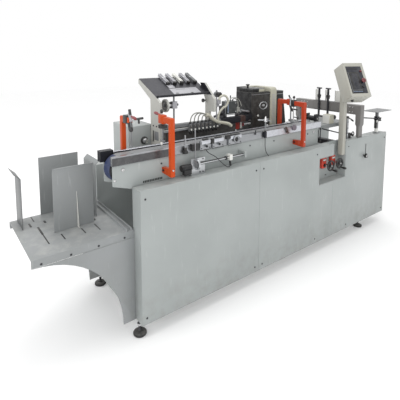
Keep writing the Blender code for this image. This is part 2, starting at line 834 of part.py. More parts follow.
def build_conveyor():
    side_points = [
        (CONVEYOR_LEFT, 0.820),
        (-0.002, SIDE_BOTTOM + 0.003),
        (0.030, SIDE_BOTTOM),
        (CONVEYOR_RIGHT - 0.02, SIDE_BOTTOM),
        (CONVEYOR_RIGHT - 0.02, RAIL_BOTTOM - GAP),
        (CONVEYOR_LEFT, RAIL_BOTTOM - GAP),
    ]
    for name, y in (("conveyor_side_front", SIDE_FRONT_Y), ("conveyor_side_rear", SIDE_REAR_Y)):
        side = outline(name, side_points, SIDE_SHEET, facing_front(y + SIDE_SHEET / 2))
        adopt(side, CABINET_GREY)
    overhang = (RAIL_DEPTH - SIDE_SHEET) / 2 + 0.003
    rails = {
        "rail_front": (SIDE_FRONT_Y - overhang, rail_guides(SIDE_FRONT_Y - overhang)),
        "rail_rear": (SIDE_REAR_Y - overhang, [nose_block(SIDE_REAR_Y - overhang)]),
    }
    for name, (y, extras) in rails.items():
        rail = block(
            name, (CONVEYOR_LEFT - 0.006, y, RAIL_BOTTOM), (CONVEYOR_RIGHT, y + RAIL_DEPTH, RAIL_TOP)
        )
        rail = soften(rail, 0.002, 1)
        rail = fuse(rail, *extras)
        adopt(rail, BRIGHT_METAL)


def nose_block(rail_y):
    """Dark stop at the head end of the rear rail."""
    left = CONVEYOR_LEFT - 0.026
    return block(
        "nose",
        (left, rail_y - 0.012, RAIL_BOTTOM + 0.005),
        (left + NOSE_LENGTH, rail_y - 0.012 + NOSE_WIDTH, RAIL_TOP + 0.013),
    )


def rail_guides(rail_y):
    """Guide blocks, a star nut on its spindle and a pin, on the front rail's face."""
    seat = rail_y + 0.003
    out = rail_y - GUIDE_REACH
    solids = [
        block(
            "guide",
            (DARK_GUIDE_X[0], out, RAIL_BOTTOM + 0.010),
            (DARK_GUIDE_X[1], seat, RAIL_TOP + 0.002),
        ),
    ]
    for left, right in BRIGHT_GUIDE_X:
        plate = block("guide", (left, out + 0.012, RAIL_BOTTOM + 0.004), (right, seat, RAIL_TOP + 0.006))
        middle = (left + right) / 2
        screw = rod(
            "screw",
            (middle, out, RAIL_BOTTOM + 0.024),
            (middle, out + 0.015, RAIL_BOTTOM + 0.024),
            0.007,
        )
        strip = block(
            "strip",
            (left + 0.006, out + 0.006, RAIL_TOP - 0.010),
            (right - 0.006, seat, RAIL_TOP + 0.010),
        )
        solids += [plate, screw, strip]
    spindle_y = rail_y - 0.011
    lug = block(
        "lug",
        (STAR_SPINDLE_X - 0.006, spindle_y, RAIL_BOTTOM + 0.008),
        (STAR_SPINDLE_X + 0.006, seat, RAIL_TOP - 0.006),
    )
    spindle = rod(
        "spindle",
        (STAR_SPINDLE_X, spindle_y, RAIL_BOTTOM + 0.004),
        (STAR_SPINDLE_X, spindle_y, STAR_SPINDLE_TOP),
        0.0035,
    )
    star_z = STAR_SPINDLE_TOP - 0.024
    star = rod(
        "star", (STAR_SPINDLE_X, spindle_y, star_z - 0.009),
        (STAR_SPINDLE_X, spindle_y, star_z + 0.009), 0.011, 12,
    )
    arms = []
    for angle in (23, 143, 263):
        away = Vector((math.cos(math.radians(angle)), math.sin(math.radians(angle)), 0))
        centre = Vector((STAR_SPINDLE_X, spindle_y, star_z))
        arms.append(rod("arm", centre, centre + away * STAR_ARM, 0.004, 8))
    base = rod(
        "base", (STAR_SPINDLE_X, spindle_y, RAIL_BOTTOM + 0.006),
        (STAR_SPINDLE_X, spindle_y, RAIL_TOP - 0.003), 0.010, 16,
    )
    pin_lug = block(
        "lug",
        (PIN_SPINDLE_X - 0.012, out, RAIL_BOTTOM + 0.002),
        (PIN_SPINDLE_X + 0.012, seat, RAIL_BOTTOM + 0.018),
    )
    pin = rod(
        "pin",
        (PIN_SPINDLE_X, spindle_y, RAIL_BOTTOM + 0.010),
        (PIN_SPINDLE_X, spindle_y, PIN_SPINDLE_TOP),
        0.0035,
    )
    pin_cap = rod(
        "cap", (PIN_SPINDLE_X, spindle_y, PIN_SPINDLE_TOP - 0.005),
        (PIN_SPINDLE_X, spindle_y, PIN_SPINDLE_TOP + 0.004), 0.006,
    )
    return solids + [lug, spindle, base, star, *arms, pin_lug, pin, pin_cap]


def build_cross_shaft():
    """Bearing plate with a flange, the shaft along the line, its clamp and its far bearing."""
    half = SHAFT_PLATE_SHEET / 2
    plate = block(
        "cross_shaft",
        (SHAFT_PLATE_X[0], SHAFT_Y - half, WALL_TOP + GAP),
        (SHAFT_PLATE_X[1], SHAFT_Y + half, SHAFT_PLATE_TOP),
    )
    near = SHAFT_PLATE_X[0]
    flange = rod(
        "flange", (SHAFT_FLANGE_X - 0.006, SHAFT_Y - 0.008, SHAFT_Z),
        (SHAFT_FLANGE_X + 0.006, SHAFT_Y - 0.008, SHAFT_Z), SHAFT_FLANGE_RADIUS, 24,
    )
    shaft = rod(
        "shaft",
        (SHAFT_FLANGE_X, SHAFT_Y - 0.008, SHAFT_Z),
        (SHAFT_END_X, SHAFT_Y - 0.008, SHAFT_Z),
        CROSS_SHAFT_RADIUS,
    )
    motor = rod(
        "motor",
        (near - 0.066, SHAFT_Y, SHAFT_Z - 0.010),
        (near + 0.004, SHAFT_Y, SHAFT_Z - 0.010),
        0.017,
        16,
    )
    terminal = block(
        "terminal",
        (near - 0.050, SHAFT_Y - 0.010, SHAFT_Z - 0.050),
        (near + 0.002, SHAFT_Y + 0.012, SHAFT_Z - 0.022),
    )
    clamp = block(
        "clamp", (SHAFT_CLAMP_X - 0.011, SHAFT_Y - 0.024, SHAFT_Z - 0.015), (
            SHAFT_CLAMP_X + 0.011, SHAFT_Y + 0.008, SHAFT_Z + 0.018
        )
    )
    handle = rod(
        "handle",
        (SHAFT_CLAMP_X, SHAFT_Y - 0.010, SHAFT_Z - 0.010),
        (SHAFT_CLAMP_X, SHAFT_Y - 0.018, SHAFT_Z - 0.050),
        0.006,
    )
    bearing = block(
        "bearing", (SHAFT_END_X - 0.010, SHAFT_Y - 0.024, SHAFT_Z - 0.018), (
            SHAFT_END_X + 0.004, SIDE_FRONT_Y - GAP, SHAFT_Z + 0.018
        )
    )
    unit = fuse(plate, flange, shaft, motor, terminal, clamp, handle, bearing)
    adopt(unit, BRIGHT_METAL)


def loop_points(radius, steps=12):
    """A belt loop's outline round the head and tail rollers."""
    centre_z = BELT_TOP - BELT_THICKNESS - ROLLER_RADIUS
    points = []
    for x, start in ((TAIL_ROLLER_X, -math.pi / 2), (HEAD_ROLLER_X, math.pi / 2)):
        for step in range(steps + 1):
            angle = start + math.pi * step / steps
            points.append((x + radius * math.cos(angle), centre_z + radius * math.sin(angle)))
    return points


def build_belt():
    middle = BELT_FRONT + BELT_WIDTH / 2
    inner = (ROLLER_RADIUS + GAP) / math.cos(math.pi / 24)
    outer = ROLLER_RADIUS + BELT_THICKNESS
    belt = outline(
        "conveyor_belt", loop_points(outer), BELT_WIDTH, facing_front(middle), [loop_points(inner)]
    )
    adopt(belt, BELT_BLUE)
    centre_z = BELT_TOP - BELT_THICKNESS - ROLLER_RADIUS
    for name, x in (("head_roller", HEAD_ROLLER_X), ("tail_roller", TAIL_ROLLER_X)):
        roller = rod(
            name, (x, BELT_FRONT, centre_z), (x, BELT_FRONT + BELT_WIDTH, centre_z), ROLLER_RADIUS, 32
        )
        shaft_start = SIDE_FRONT_Y + SIDE_SHEET + GAP
        shaft_end = SIDE_REAR_Y - GAP
        shaft = rod("shaft", (x, shaft_start, centre_z), (x, shaft_end, centre_z), SHAFT_RADIUS)
        roller = fuse(roller, shaft)
        adopt(roller, DARK_STEEL)


def bracket_points(outer_y, inward, seat_y):
    """Outline of a C bracket in the YZ plane: foot arm, upright and top arm."""
    inner_y = outer_y + inward * BRACKET_TUBE
    arm_end = outer_y + inward * BRACKET_ARM
    foot_low, foot_high, foot_root = BRACKET_FOOT_Z
    return [
        (seat_y, BRACKET_LOW + foot_low),
        (seat_y, BRACKET_LOW + foot_high),
        (inner_y, BRACKET_LOW + foot_root),
        (inner_y, BRACKET_HIGH - ARM_DEPTH),
        (arm_end, BRACKET_HIGH - ARM_DEPTH + 0.006),
        (arm_end, BRACKET_HIGH),
        (outer_y + inward * 0.006, BRACKET_HIGH),
        (outer_y, BRACKET_HIGH - 0.006),
        (outer_y, BRACKET_LOW),
        (inner_y, BRACKET_LOW),
    ]


def hold_down(x, arm_end, inward):
    """Clamp block, sleeve, screw, lever, grip and pressing shoe on one vertical line."""
    y = arm_end + inward * 0.004
    top = BRACKET_HIGH
    shoe_z = RAIL_TOP + SHOE_LIFT
    grip_y = y + inward * (CLAMP_LENGTH / 2 - 0.002)
    grip_z = top - 0.020
    clamp = block(
        "clamp",
        (x - CLAMP_WIDTH / 2, y - CLAMP_LENGTH / 2, top - CLAMP_DROP),
        (x + CLAMP_WIDTH / 2, y + CLAMP_LENGTH / 2, top + CLAMP_RISE),
    )
    shoe = block(
        "shoe",
        (x - SHOE_LENGTH / 2, y - SHOE_WIDTH / 2, shoe_z),
        (x + SHOE_LENGTH / 2, y + SHOE_WIDTH / 2, shoe_z + SHOE_HEIGHT),
    )
    return [
        clamp,
        shoe,
        rod("sleeve", (x, y, top - 0.086), (x, y, top + 0.030), SLEEVE_RADIUS),
        rod("screw", (x, y, shoe_z + 0.004), (x, y, top), SCREW_RADIUS),
        rod("lever", (x, y, top + 0.024), (x - 0.018, y + inward * 0.030, top + 0.055), LEVER_RADIUS),
        rod("grip", (x, grip_y, grip_z), (x, grip_y + inward * GRIP_LENGTH, grip_z), GRIP_RADIUS),
    ]


def build_brackets():
    front_seat = SIDE_FRONT_Y - GAP
    rear_seat = SIDE_REAR_Y + SIDE_SHEET + GAP
    sides = (
        ("front", FRONT_BRACKET_X, BRACKET_FRONT_Y, 1, front_seat),
        ("rear", REAR_BRACKET_X, BRACKET_REAR_Y, -1, rear_seat),
    )
    for side, places, outer_y, inward, seat_y in sides:
        for index, left in enumerate(places, start=1):
            x = left + BRACKET_TUBE / 2
            points = bracket_points(outer_y, inward, seat_y)
            bracket = outline(f"bracket_{side}_{index}", points, BRACKET_TUBE, facing_side(x))
            bracket = fuse(bracket, *hold_down(x, outer_y + inward * BRACKET_ARM, inward))
            adopt(bracket, BRACKET_ORANGE)


def build_carrier():
    """Rail behind the conveyor that carries the valves, rack and sensor, on one leg."""
    carrier = block(
        "valve_carrier",
        (CARRIER_X[0], CARRIER_Y[0], CARRIER_Z[0]),
        (CARRIER_X[1], CARRIER_Y[1], CARRIER_Z[1]),
    )
    leg = block(
        "leg",
        (BEAM_LEFT - 0.019, CARRIER_Y[0] + 0.001, BEAM_TOP + GAP),
        (BEAM_LEFT + 0.021, CARRIER_Y[1] - 0.001, CARRIER_Z[0] + 0.002),
    )
    solids = [leg]
    front = CARRIER_Y[0] - VALVE_DEPTH
    for index in range(VALVES):
        x = VALVE_X + index * VALVE_PITCH
        solids.append(
            block(
                "valve",
                (x - VALVE_WIDTH / 2, front, VALVE_Z[0]),
                (x + VALVE_WIDTH / 2, CARRIER_Y[0] + 0.002, VALVE_Z[1]),
            )
        )
        y = front + VALVE_DEPTH / 2
        solids.append(rod("fitting", (x, y, FITTING_LOW), (x, y, VALVE_Z[0] + 0.002), FITTING_RADIUS, 8))
    carrier = fuse(carrier, *solids)
    adopt(carrier, DARK_STEEL)


def bezier(a, b, c, d, steps):
    """Points along a cubic curve from a to d."""
    points = []
    for step in range(steps + 1):
        t = step / steps
        s = 1 - t
        points.append(s ** 3 * a + 3 * s ** 2 * t * b + 3 * s * t ** 2 * c + t ** 3 * d)
    return points


def build_tubes():
    """Eight thin tubes that arch over from the valves and run into one ribbed hose."""
    route = [Vector((x, HOSE_Y, z)) for x, z in HOSE_ROUTE]
    hose = wire("air_hoses", route, HOSE_RADIUS)
    solids = []
    valve_y = CARRIER_Y[0] - VALVE_DEPTH / 2
    for index in range(VALVES):
        x = VALVE_X + index * VALVE_PITCH
        start = Vector((x, valve_y, VALVE_Z[1] + GAP))
        share = index / (VALVES - 1)
        spread = (share - 0.5) * HOSE_RADIUS
        end = route[0].lerp(route[3], max(0.0, share * 1.3 - 0.3)) + Vector((0.012, spread, -0.002))
        reach = 0.075 * (1 - 0.75 * share)
        neck = start + Vector((0, 0, 0.003))
        rise = neck + Vector((0, 0, reach))
        run = end + Vector((-reach, 0, 0.5 * reach))
        solids.append(wire("tube", [start, *bezier(neck, rise, run, end, 8)], TUBE_RADIUS, 1))
    loop = []
    steps = 14
    for step in range(steps + 1):
        angle = math.radians(160 - 250 * step / steps)
        x = LOOP_CENTRE[0] + LOOP_RADIUS * math.cos(angle)
        loop.append(Vector((x, HOSE_Y, LOOP_CENTRE[1] + LOOP_RADIUS * math.sin(angle))))
    loop += [Vector((LOOP_CENTRE[0] - 0.050, HOSE_Y, LOOP_CENTRE[1] - 0.075)), route[3]]
    solids.append(wire("loop", loop, LOOP_HOSE_RADIUS))
    hose = fuse(hose, *solids)
    adopt(hose, CASING_BEIGE)


def build_rack():
    """A sloping tray with bars on a cheek at its left, a column at its right and a rod between."""
    front = Vector((RACK_FRONT_Y, RACK_FRONT_Z))
    along = Vector((math.cos(RACK_SLOPE), math.sin(RACK_SLOPE)))
    normal = Vector((-along.y, along.x))
    back = front + along * RACK_REACH
    rod_y = (CARRIER_Y[0] + CARRIER_Y[1]) / 2
    seat_z = CARRIER_Z[1] + GAP
    rod_top = RACK_FRONT_Z + (rod_y - RACK_FRONT_Y) * math.tan(RACK_SLOPE)
    solids = [rod("rod", (RACK_ROD_X, rod_y, seat_z), (RACK_ROD_X, rod_y, rod_top), RACK_ROD_RADIUS)]
    tip = COLUMN_FRONT + COLUMN_LEAN
    column_points = [
        (CARRIER_Y[1], seat_z),
        (CARRIER_Y[0] + 0.001, seat_z),
        (CARRIER_Y[0] + 0.001, COLUMN_NOTCH_Z),
        (COLUMN_FRONT, COLUMN_NOTCH_Z),
        (COLUMN_FRONT, COLUMN_SHOULDER_Z),
        (tip, COLUMN_TOP),
        (tip + COLUMN_TIP, COLUMN_TOP),
        (CARRIER_Y[1], COLUMN_SHOULDER_Z - 0.010),
    ]
    column_middle = COLUMN_X + COLUMN_SHEET / 2
    solids.append(outline("column", column_points, COLUMN_SHEET, facing_side(column_middle)))
    lift = normal * (RACK_BAR_RADIUS - 0.001)
    for index in range(RACK_BARS):
        x = RACK_BAR_LEFT + index * RACK_BAR_PITCH
        start = front + along * RACK_BAR_RUN[0] + lift
        end = front + along * RACK_BAR_RUN[1] + lift
        solids.append(rod("bar", (x, start.x, start.y), (x, end.x, end.y), RACK_BAR_RADIUS))
    cheek_points = [
        (RACK_CHEEK_Y[0], BEAM_TOP + GAP),
        (RACK_CHEEK_Y[0], RACK_CHEEK_SHOULDER_Z),
        (front.x - 0.003, front.y - 0.001),
        (back.x, back.y - 0.001),
        (back.x, back.y - RACK_CHEEK_DEPTH),
        (RACK_CHEEK_Y[1], RACK_CHEEK_SHOULDER_Z + 0.012),
        (RACK_CHEEK_Y[1], BEAM_TOP + GAP),
    ]
    cheek_right = CARRIER_X[0] - GAP
    cheek_middle = cheek_right - RACK_CHEEK_SHEET / 2
    solids.append(outline("cheek", cheek_points, RACK_CHEEK_SHEET, facing_side(cheek_middle)))
    rack = folded(
        "tool_rack",
        [(front.x - 0.004, front.y + 0.012), tuple(front), tuple(back)],
        RACK_SHEET, RACK_X[0], RACK_X[1],
    )
    rack = fuse(rack, *solids)
    adopt(rack, DARK_STEEL)


def build_disc_and_sensor():
    """A guide disc clamped on the rack's rod, and a sensor block on a rod of its own."""
    y = (CARRIER_Y[0] + CARRIER_Y[1]) / 2
    low, high = DISC_Z - 0.022, DISC_Z + 0.022
    clamp = block("guide_disc", (RACK_ROD_X - 0.016, y - 0.016, low), (RACK_ROD_X + 0.016, y + 0.016, high))
    bore = rod("bore", (RACK_ROD_X, y, low - 0.01), (RACK_ROD_X, y, high + 0.01), RACK_ROD_RADIUS + GAP)
    clamp = cut(clamp, bore)
    disc = turned(
        "disc",
        [
            (0.0, DISC_THICKNESS - 0.006),
            (DISC_RADIUS - 0.008, DISC_THICKNESS - 0.006),
            (DISC_RADIUS - 0.006, DISC_THICKNESS),
            (DISC_RADIUS, DISC_THICKNESS - 0.002),
            (DISC_RADIUS, 0.002),
            (DISC_RADIUS - 0.002, 0.0),
            (0.0, 0.0),
        ],
        (DISC_X + DISC_THICKNESS, y, DISC_Z), (-1, 0, 0),
    )
    posts = []
    for z in (DISC_Z - 0.014, DISC_Z + 0.014):
        posts.append(
            rod(
                "standoff",
                (DISC_X + DISC_THICKNESS - 0.003, y, z),
                (RACK_ROD_X - 0.012, y, z),
                STANDOFF_RADIUS,
            ),
        )
    disc = fuse(clamp, disc, *posts)
    adopt(disc, BRIGHT_METAL)
    sensor = block(
        "sensor_rod",
        (SENSOR_X - 0.013, y - 0.013, SENSOR_BLOCK_Z[0]),
        (SENSOR_X + 0.013, y + 0.013, SENSOR_BLOCK_Z[1]),
    )
    post = rod("post", (SENSOR_X, y, CARRIER_Z[1] + GAP), (SENSOR_X, y, SENSOR_TOP), SENSOR_ROD_RADIUS)
    head = rod(
        "head",
        (SENSOR_X, y - 0.030, SENSOR_TOP - 0.030),
        (SENSOR_X, y + 0.010, SENSOR_TOP - 0.030),
        0.018,
        16,
    )
    sensor = fuse(sensor, post, head)
    adopt(sensor, BRIGHT_METAL)


def build_applicator():
    """Glue applicator: body, column, nozzle arm and coil on a block from the tank."""
    front = CARRIER_Y[1] + GAP
    body = block(
        "applicator_head",
        (APPLICATOR_BODY_X[0], front + 0.004, APPLICATOR_BODY_Z[0]),
        (APPLICATOR_BODY_X[1], APPLICATOR_BACK, APPLICATOR_BODY_Z[1]),
    )
    body = soften(body, 0.004, 1)
    middle = (front + APPLICATOR_BACK) / 2
    mount = block(
        "mount",
        (COIL_X + 0.020, front, CARRIER_Z[0] + 0.001),
        (TANK_X[0] - GAP, APPLICATOR_BACK, CARRIER_Z[1]),
    )
    coil = rod("coil", (COIL_X, middle, COIL_Z[0]), (COIL_X, middle, COIL_Z[1]), COIL_RADIUS, 20)
    stem = rod(
        "stem",
        (COIL_X, middle, COIL_Z[1] - 0.002),
        (COIL_X, middle, APPLICATOR_BODY_Z[0] + 0.030),
        0.012,
    )
    bridge = block(
        "bridge",
        (APPLICATOR_BODY_X[1] - 0.006, front + 0.012, APPLICATOR_BODY_Z[0] + 0.010),
        (COIL_X + 0.016, APPLICATOR_BACK - 0.012, APPLICATOR_BODY_Z[0] + 0.040),
    )
    column = block(
        "column",
        (APPLICATOR_COLUMN_X, front + 0.008, CARRIER_Z[1] - 0.045),
        (APPLICATOR_BODY_X[0] + 0.004, APPLICATOR_BACK - 0.008, APPLICATOR_BODY_Z[1] - 0.030),
    )
    arm = rod(
        "arm", (APPLICATOR_COLUMN_X - 0.062, middle, APPLICATOR_BODY_Z[0] - 0.010),
        (APPLICATOR_BODY_X[0] + 0.010, middle, APPLICATOR_BODY_Z[0] + 0.012), 0.009,
    )
    pin_x = APPLICATOR_BODY_X[1] - 0.041
    pin = rod(
        "pin",
        (pin_x, middle, APPLICATOR_BODY_Z[1] - 0.004),
        (pin_x, middle, APPLICATOR_BODY_Z[1] + 0.040),
        0.004,
    )
    tube = wire(
        "tube",
        [
            (pin_x + 0.015, middle, APPLICATOR_BODY_Z[1] - 0.004),
            (pin_x + 0.025, middle, APPLICATOR_BODY_Z[1] + 0.012),
            (pin_x + 0.045, middle, APPLICATOR_BODY_Z[1] + 0.016),
            (COIL_X + 0.012, middle, APPLICATOR_BODY_Z[1] - 0.006),
            (COIL_X + 0.018, middle, APPLICATOR_BODY_Z[1] - 0.040),
            (COIL_X + 0.010, middle, APPLICATOR_BODY_Z[0] + 0.030),
        ],
        0.004,
    )
    head = fuse(body, mount, coil, stem, bridge, column, arm, pin, tube)
    adopt(head, TANK_DARK)


def build_glue_unit():
    tank = block("glue_tank", (TANK_X[0], TANK_Y[0], TANK_BOTTOM), (TANK_X[1], TANK_Y[1], TANK_TOP))
    tank = soften(tank, 0.006)
    lid = block(
        "lid",
        (TANK_X[0] + 0.030, TANK_Y[0] + 0.020, TANK_TOP - 0.004),
        (TANK_X[1] - 0.045, TANK_Y[1] - 0.008, TANK_TOP + TANK_LID),
    )
    lid_top = TANK_TOP + TANK_LID
    knob = rod("knob", (*TANK_KNOB, lid_top - 0.002), (*TANK_KNOB, lid_top + 0.033), 0.008)
    tank = fuse(tank, lid, knob)
    adopt(tank, TANK_DARK)
    front = TANK_Y[0] - 0.004
    low = WALL_TOP + GAP
    band_points = [(CASING_BACK, CASING_TOP), (CASING_BACK, low), (front, low)]
    steps = 5
    for step in range(steps + 1):
        angle = math.pi / 2 * step / steps
        y = front + CASING_ROUND * (1 - math.cos(angle))
        band_points.append((y, CASING_TOP - CASING_ROUND * (1 - math.sin(angle))))
    band_left = TANK_X[1] + GAP
    width = CASING_RIGHT - band_left
    casing = outline("glue_casing", band_points, width, facing_side(band_left + width / 2))
    back = block(
        "back",
        (TANK_X[0] + CASING_INSET, TANK_Y[1] + GAP, low + 0.001),
        (band_left + 0.004, CASING_BACK - 0.001, CASING_TOP - 0.001),
    )
    casing = fuse(casing, back)
    adopt(casing, CASING_BEIGE)
    drive_left = CASING_RIGHT + GAP
    drive_low = BEAM_TOP + 0.05
    drive_points = [
        (drive_left, drive_low),
        (DRIVE_RIGHT + DRIVE_FLARE, drive_low),
        (DRIVE_RIGHT + DRIVE_FLARE, drive_low + 0.080),
        (DRIVE_RIGHT, DRIVE_TOP),
        (drive_left, DRIVE_TOP),
    ]
    drive_y = (TANK_Y[0] + 0.04, CASING_BACK - 0.02)
    drive_middle = (drive_y[0] + drive_y[1]) / 2
    drive = outline("glue_drive", drive_points, drive_y[1] - drive_y[0], facing_front(drive_middle))
    adopt(drive, TANK_DARK)


def build_electric_box():
    box = block(
        "electric_box",
        (BOX_X[0], BOX_Y[0], WALL_TOP + GAP),
        (BOX_X[1], BOX_Y[1], BOX_TOP),
    )
    box = soften(box, 0.004)
    adopt(box, CABINET_GREY)


def build_gantry():
    low_z = CABINET_TOP + GAP
    under = GANTRY_TOP - GANTRY_BEAM
    front = 0.004
    rear = CABINET_DEPTH - 0.004
    ankle_in = front + (GANTRY_LEG - GANTRY_ANKLE) / 2
    half = [
        (front, GANTRY_TOP),
        (front, GANTRY_TAPER_Z + 0.012),
        (ankle_in, GANTRY_TAPER_Z - 0.008),
        (ankle_in, low_z),
        (ankle_in + GANTRY_ANKLE, low_z),
        (ankle_in + GANTRY_ANKLE, GANTRY_TAPER_Z - 0.008),
        (front + GANTRY_LEG, GANTRY_TAPER_Z + 0.012),
        (front + GANTRY_LEG, under),
    ]
    other = [(front + rear - y, z) for y, z in reversed(half)]
    middle = (GANTRY_X[0] + GANTRY_X[1]) / 2
    gantry = outline("gantry", half + other, GANTRY_X[1] - GANTRY_X[0], facing_side(middle))
    gantry = soften(gantry, 0.003, 1)
    adopt(gantry, CABINET_GREY)


def build_press_unit():
    """Two screws with T handles on the gantry's beam, and three blades that stand on it."""
    right = GANTRY_X[0] - GAP
    left = right - PRESS_PLATE_SHEET
    front = PRESS_BLADES_Y[0][0] - PRESS_PLATE_EDGE
    rear = PRESS_BLADES_Y[-1][1] + PRESS_PLATE_EDGE
    under = GANTRY_TOP - GANTRY_BEAM
    unit = block("press_unit", (left, front, under + 0.012), (right, rear, GANTRY_TOP + 0.004))
    shelf = block("shelf", (left, front, GANTRY_TOP + GAP), (GANTRY_X[1] - 0.010, rear, GANTRY_TOP + 0.004))
    solids = [shelf]
    screw_x = left - PRESS_SCREW_RADIUS + 0.003
    for y in PRESS_Y:
        solids.append(
            rod("screw", (screw_x, y, PRESS_SCREW_Z[0]), (screw_x, y, PRESS_SCREW_Z[1]), PRESS_SCREW_RADIUS)
        )
        solids.append(
            rod(
                "nut",
                (screw_x, y, GANTRY_TOP + 0.030),
                (screw_x, y, GANTRY_TOP + 0.060),
                PRESS_SCREW_RADIUS + 0.006,
                8,
            ),
        )
        handle_z = PRESS_SCREW_Z[1] - 0.004
        solids.append(rod("handle", (screw_x, y - 0.024, handle_z), (screw_x, y + 0.024, handle_z), 0.006))
    for low_y, high_y in PRESS_BLADES_Y:
        x = GANTRY_X[0] + 0.020
        solids.append(block("blade", (x, low_y, GANTRY_TOP + 0.002), (x + 0.004, high_y, PRESS_BLADE_TOP)))
    foot_low = PRESS_SCREW_Z[0] - 0.006
    solids.append(
        block(
            "foot",
            (screw_x - 0.016, PRESS_Y[0] - 0.022, foot_low),
            (screw_x + 0.022, PRESS_Y[1] + 0.022, foot_low + 0.010),
        )
    )
    unit = fuse(unit, *solids)
    adopt(unit, DARK_STEEL)


def build_exit_bed():
    """Delivery bed on a leg, with its guard box and the press roller at the conveyor's end."""
    half = EXIT_SHEET / 2
    low = EXIT_TOP - EXIT_DEPTH
    path = [
        (EXIT_Y[0] + half, low),
        (EXIT_Y[0] + half, EXIT_TOP - half),
        (EXIT_Y[1] - half, EXIT_TOP - half),
        (EXIT_Y[1] - half, low),
    ]
    bed = folded("exit_bed", path, EXIT_SHEET, *EXIT_X)
    guard = block(
        "guard",
        (EXIT_BOX_X[0], EXIT_Y[0] + 0.001, EXIT_TOP - 0.001),
        (EXIT_BOX_X[1], EXIT_Y[0] + EXIT_BOX_DEPTH, EXIT_BOX_TOP),
    )
    guard = soften(guard, 0.003, 1)
    knob_y = EXIT_Y[0] + EXIT_BOX_DEPTH / 2
    knob_z = EXIT_TOP + 0.042
    knob_x = EXIT_BOX_X[1] + 0.018
    axle = rod("axle", (EXIT_BOX_X[1] - 0.002, knob_y, knob_z), (knob_x + 0.004, knob_y, knob_z), 0.007)
    knob = rod("knob", (knob_x, knob_y, knob_z), (knob_x + 0.036, knob_y, knob_z), EXIT_KNOB_RADIUS, 16)
    post = block(
        "post",
        (EXIT_POST_X - EXIT_POST / 2, EXIT_POST_Y - EXIT_POST / 2, WALL_TOP + GAP),
        (EXIT_POST_X + EXIT_POST / 2, EXIT_POST_Y + EXIT_POST / 2, EXIT_POST_TOP),
    )
    arm = block(
        "arm",
        (EXIT_POST_X - EXIT_POST / 2 + 0.001, EXIT_POST_Y, EXIT_TOP - 0.022),
        (EXIT_POST_X + EXIT_POST / 2 - 0.001, EXIT_Y[0] + EXIT_SHEET / 2, EXIT_TOP - 0.006),
    )
    handle = rod(
        "handle", (EXIT_POST_X, EXIT_POST_Y, EXIT_POST_TOP - 0.002),
        (EXIT_POST_X, EXIT_POST_Y, EXIT_POST_TOP + 0.016), 0.012, 16,
    )
    middle_y = (EXIT_Y[0] + EXIT_Y[1]) / 2
    leg = block(
        "leg",
        (BEAM_EXIT - EXIT_LEG_WIDTH / 2, middle_y - EXIT_LEG_WIDTH / 2, BEAM_TOP + GAP),
        (BEAM_EXIT + EXIT_LEG_WIDTH / 2, middle_y + EXIT_LEG_WIDTH / 2, EXIT_TOP - 0.001),
    )
    left = EXIT_X[0] + 0.014
    cheeks = []
    for y in (EXIT_Y[0] + 0.008, EXIT_Y[0] + 0.090):
        cheeks.append(
            block("cheek", (left, y, EXIT_TOP - 0.001), (left + 0.050, y + 0.008, EXIT_TOP + 0.095))
        )
    roller = rod(
        "roller",
        (left + 0.025, EXIT_Y[0] + 0.002, EXIT_TOP + 0.060),
        (left + 0.025, EXIT_Y[0] + 0.104, EXIT_TOP + 0.060),
        0.020,
        20,
    )
    bed = fuse(bed, guard, axle, knob, post, arm, handle, leg, roller, *cheeks)
    adopt(bed, TABLE_GREY)


def build_height_knob():
    """Three-lobed knob with a hub, in front of the right front panel."""
    y = -GAP
    centre = Vector((HEIGHT_KNOB_X, 0, HEIGHT_KNOB_Z))
    front = y - HEIGHT_KNOB_STAND
    knob = rod("height_knob", centre + Vector((0, front + 0.002, 0)), centre + Vector((0, y, 0)), 0.009)
    lobes = []
    for index in range(3):
        angle = math.radians(90 + 120 * index)
        offset = Vector((math.cos(angle), 0, math.sin(angle))) * HEIGHT_KNOB_RADIUS * 0.55
        start = centre + offset + Vector((0, front, 0))
        lobes.append(rod("lobe", start, start + Vector((0, 0.012, 0)), HEIGHT_KNOB_RADIUS * 0.5))
    knob = fuse(knob, *lobes)
    adopt(knob, BLACK_PLASTIC)


def pendant_matrix():
    """The pendant's axes: u across the face, v up the face, w into the housing."""
    across = Vector((math.cos(PENDANT_TURN), math.sin(PENDANT_TURN), 0))
    back = Vector((-math.sin(PENDANT_TURN), math.cos(PENDANT_TURN), 0))
    up = Vector((0, 0, 1))
    rise = up * math.cos(PENDANT_TILT) + back * math.sin(PENDANT_TILT)
    inward = back * math.cos(PENDANT_TILT) - up * math.sin(PENDANT_TILT)
    matrix = Matrix.Identity(4)
    for column, axis in enumerate((across, inward, rise)):
        for row in range(3):
            matrix[row][column] = axis[row]
    return Matrix.Translation(PENDANT_FRONT) @ matrix


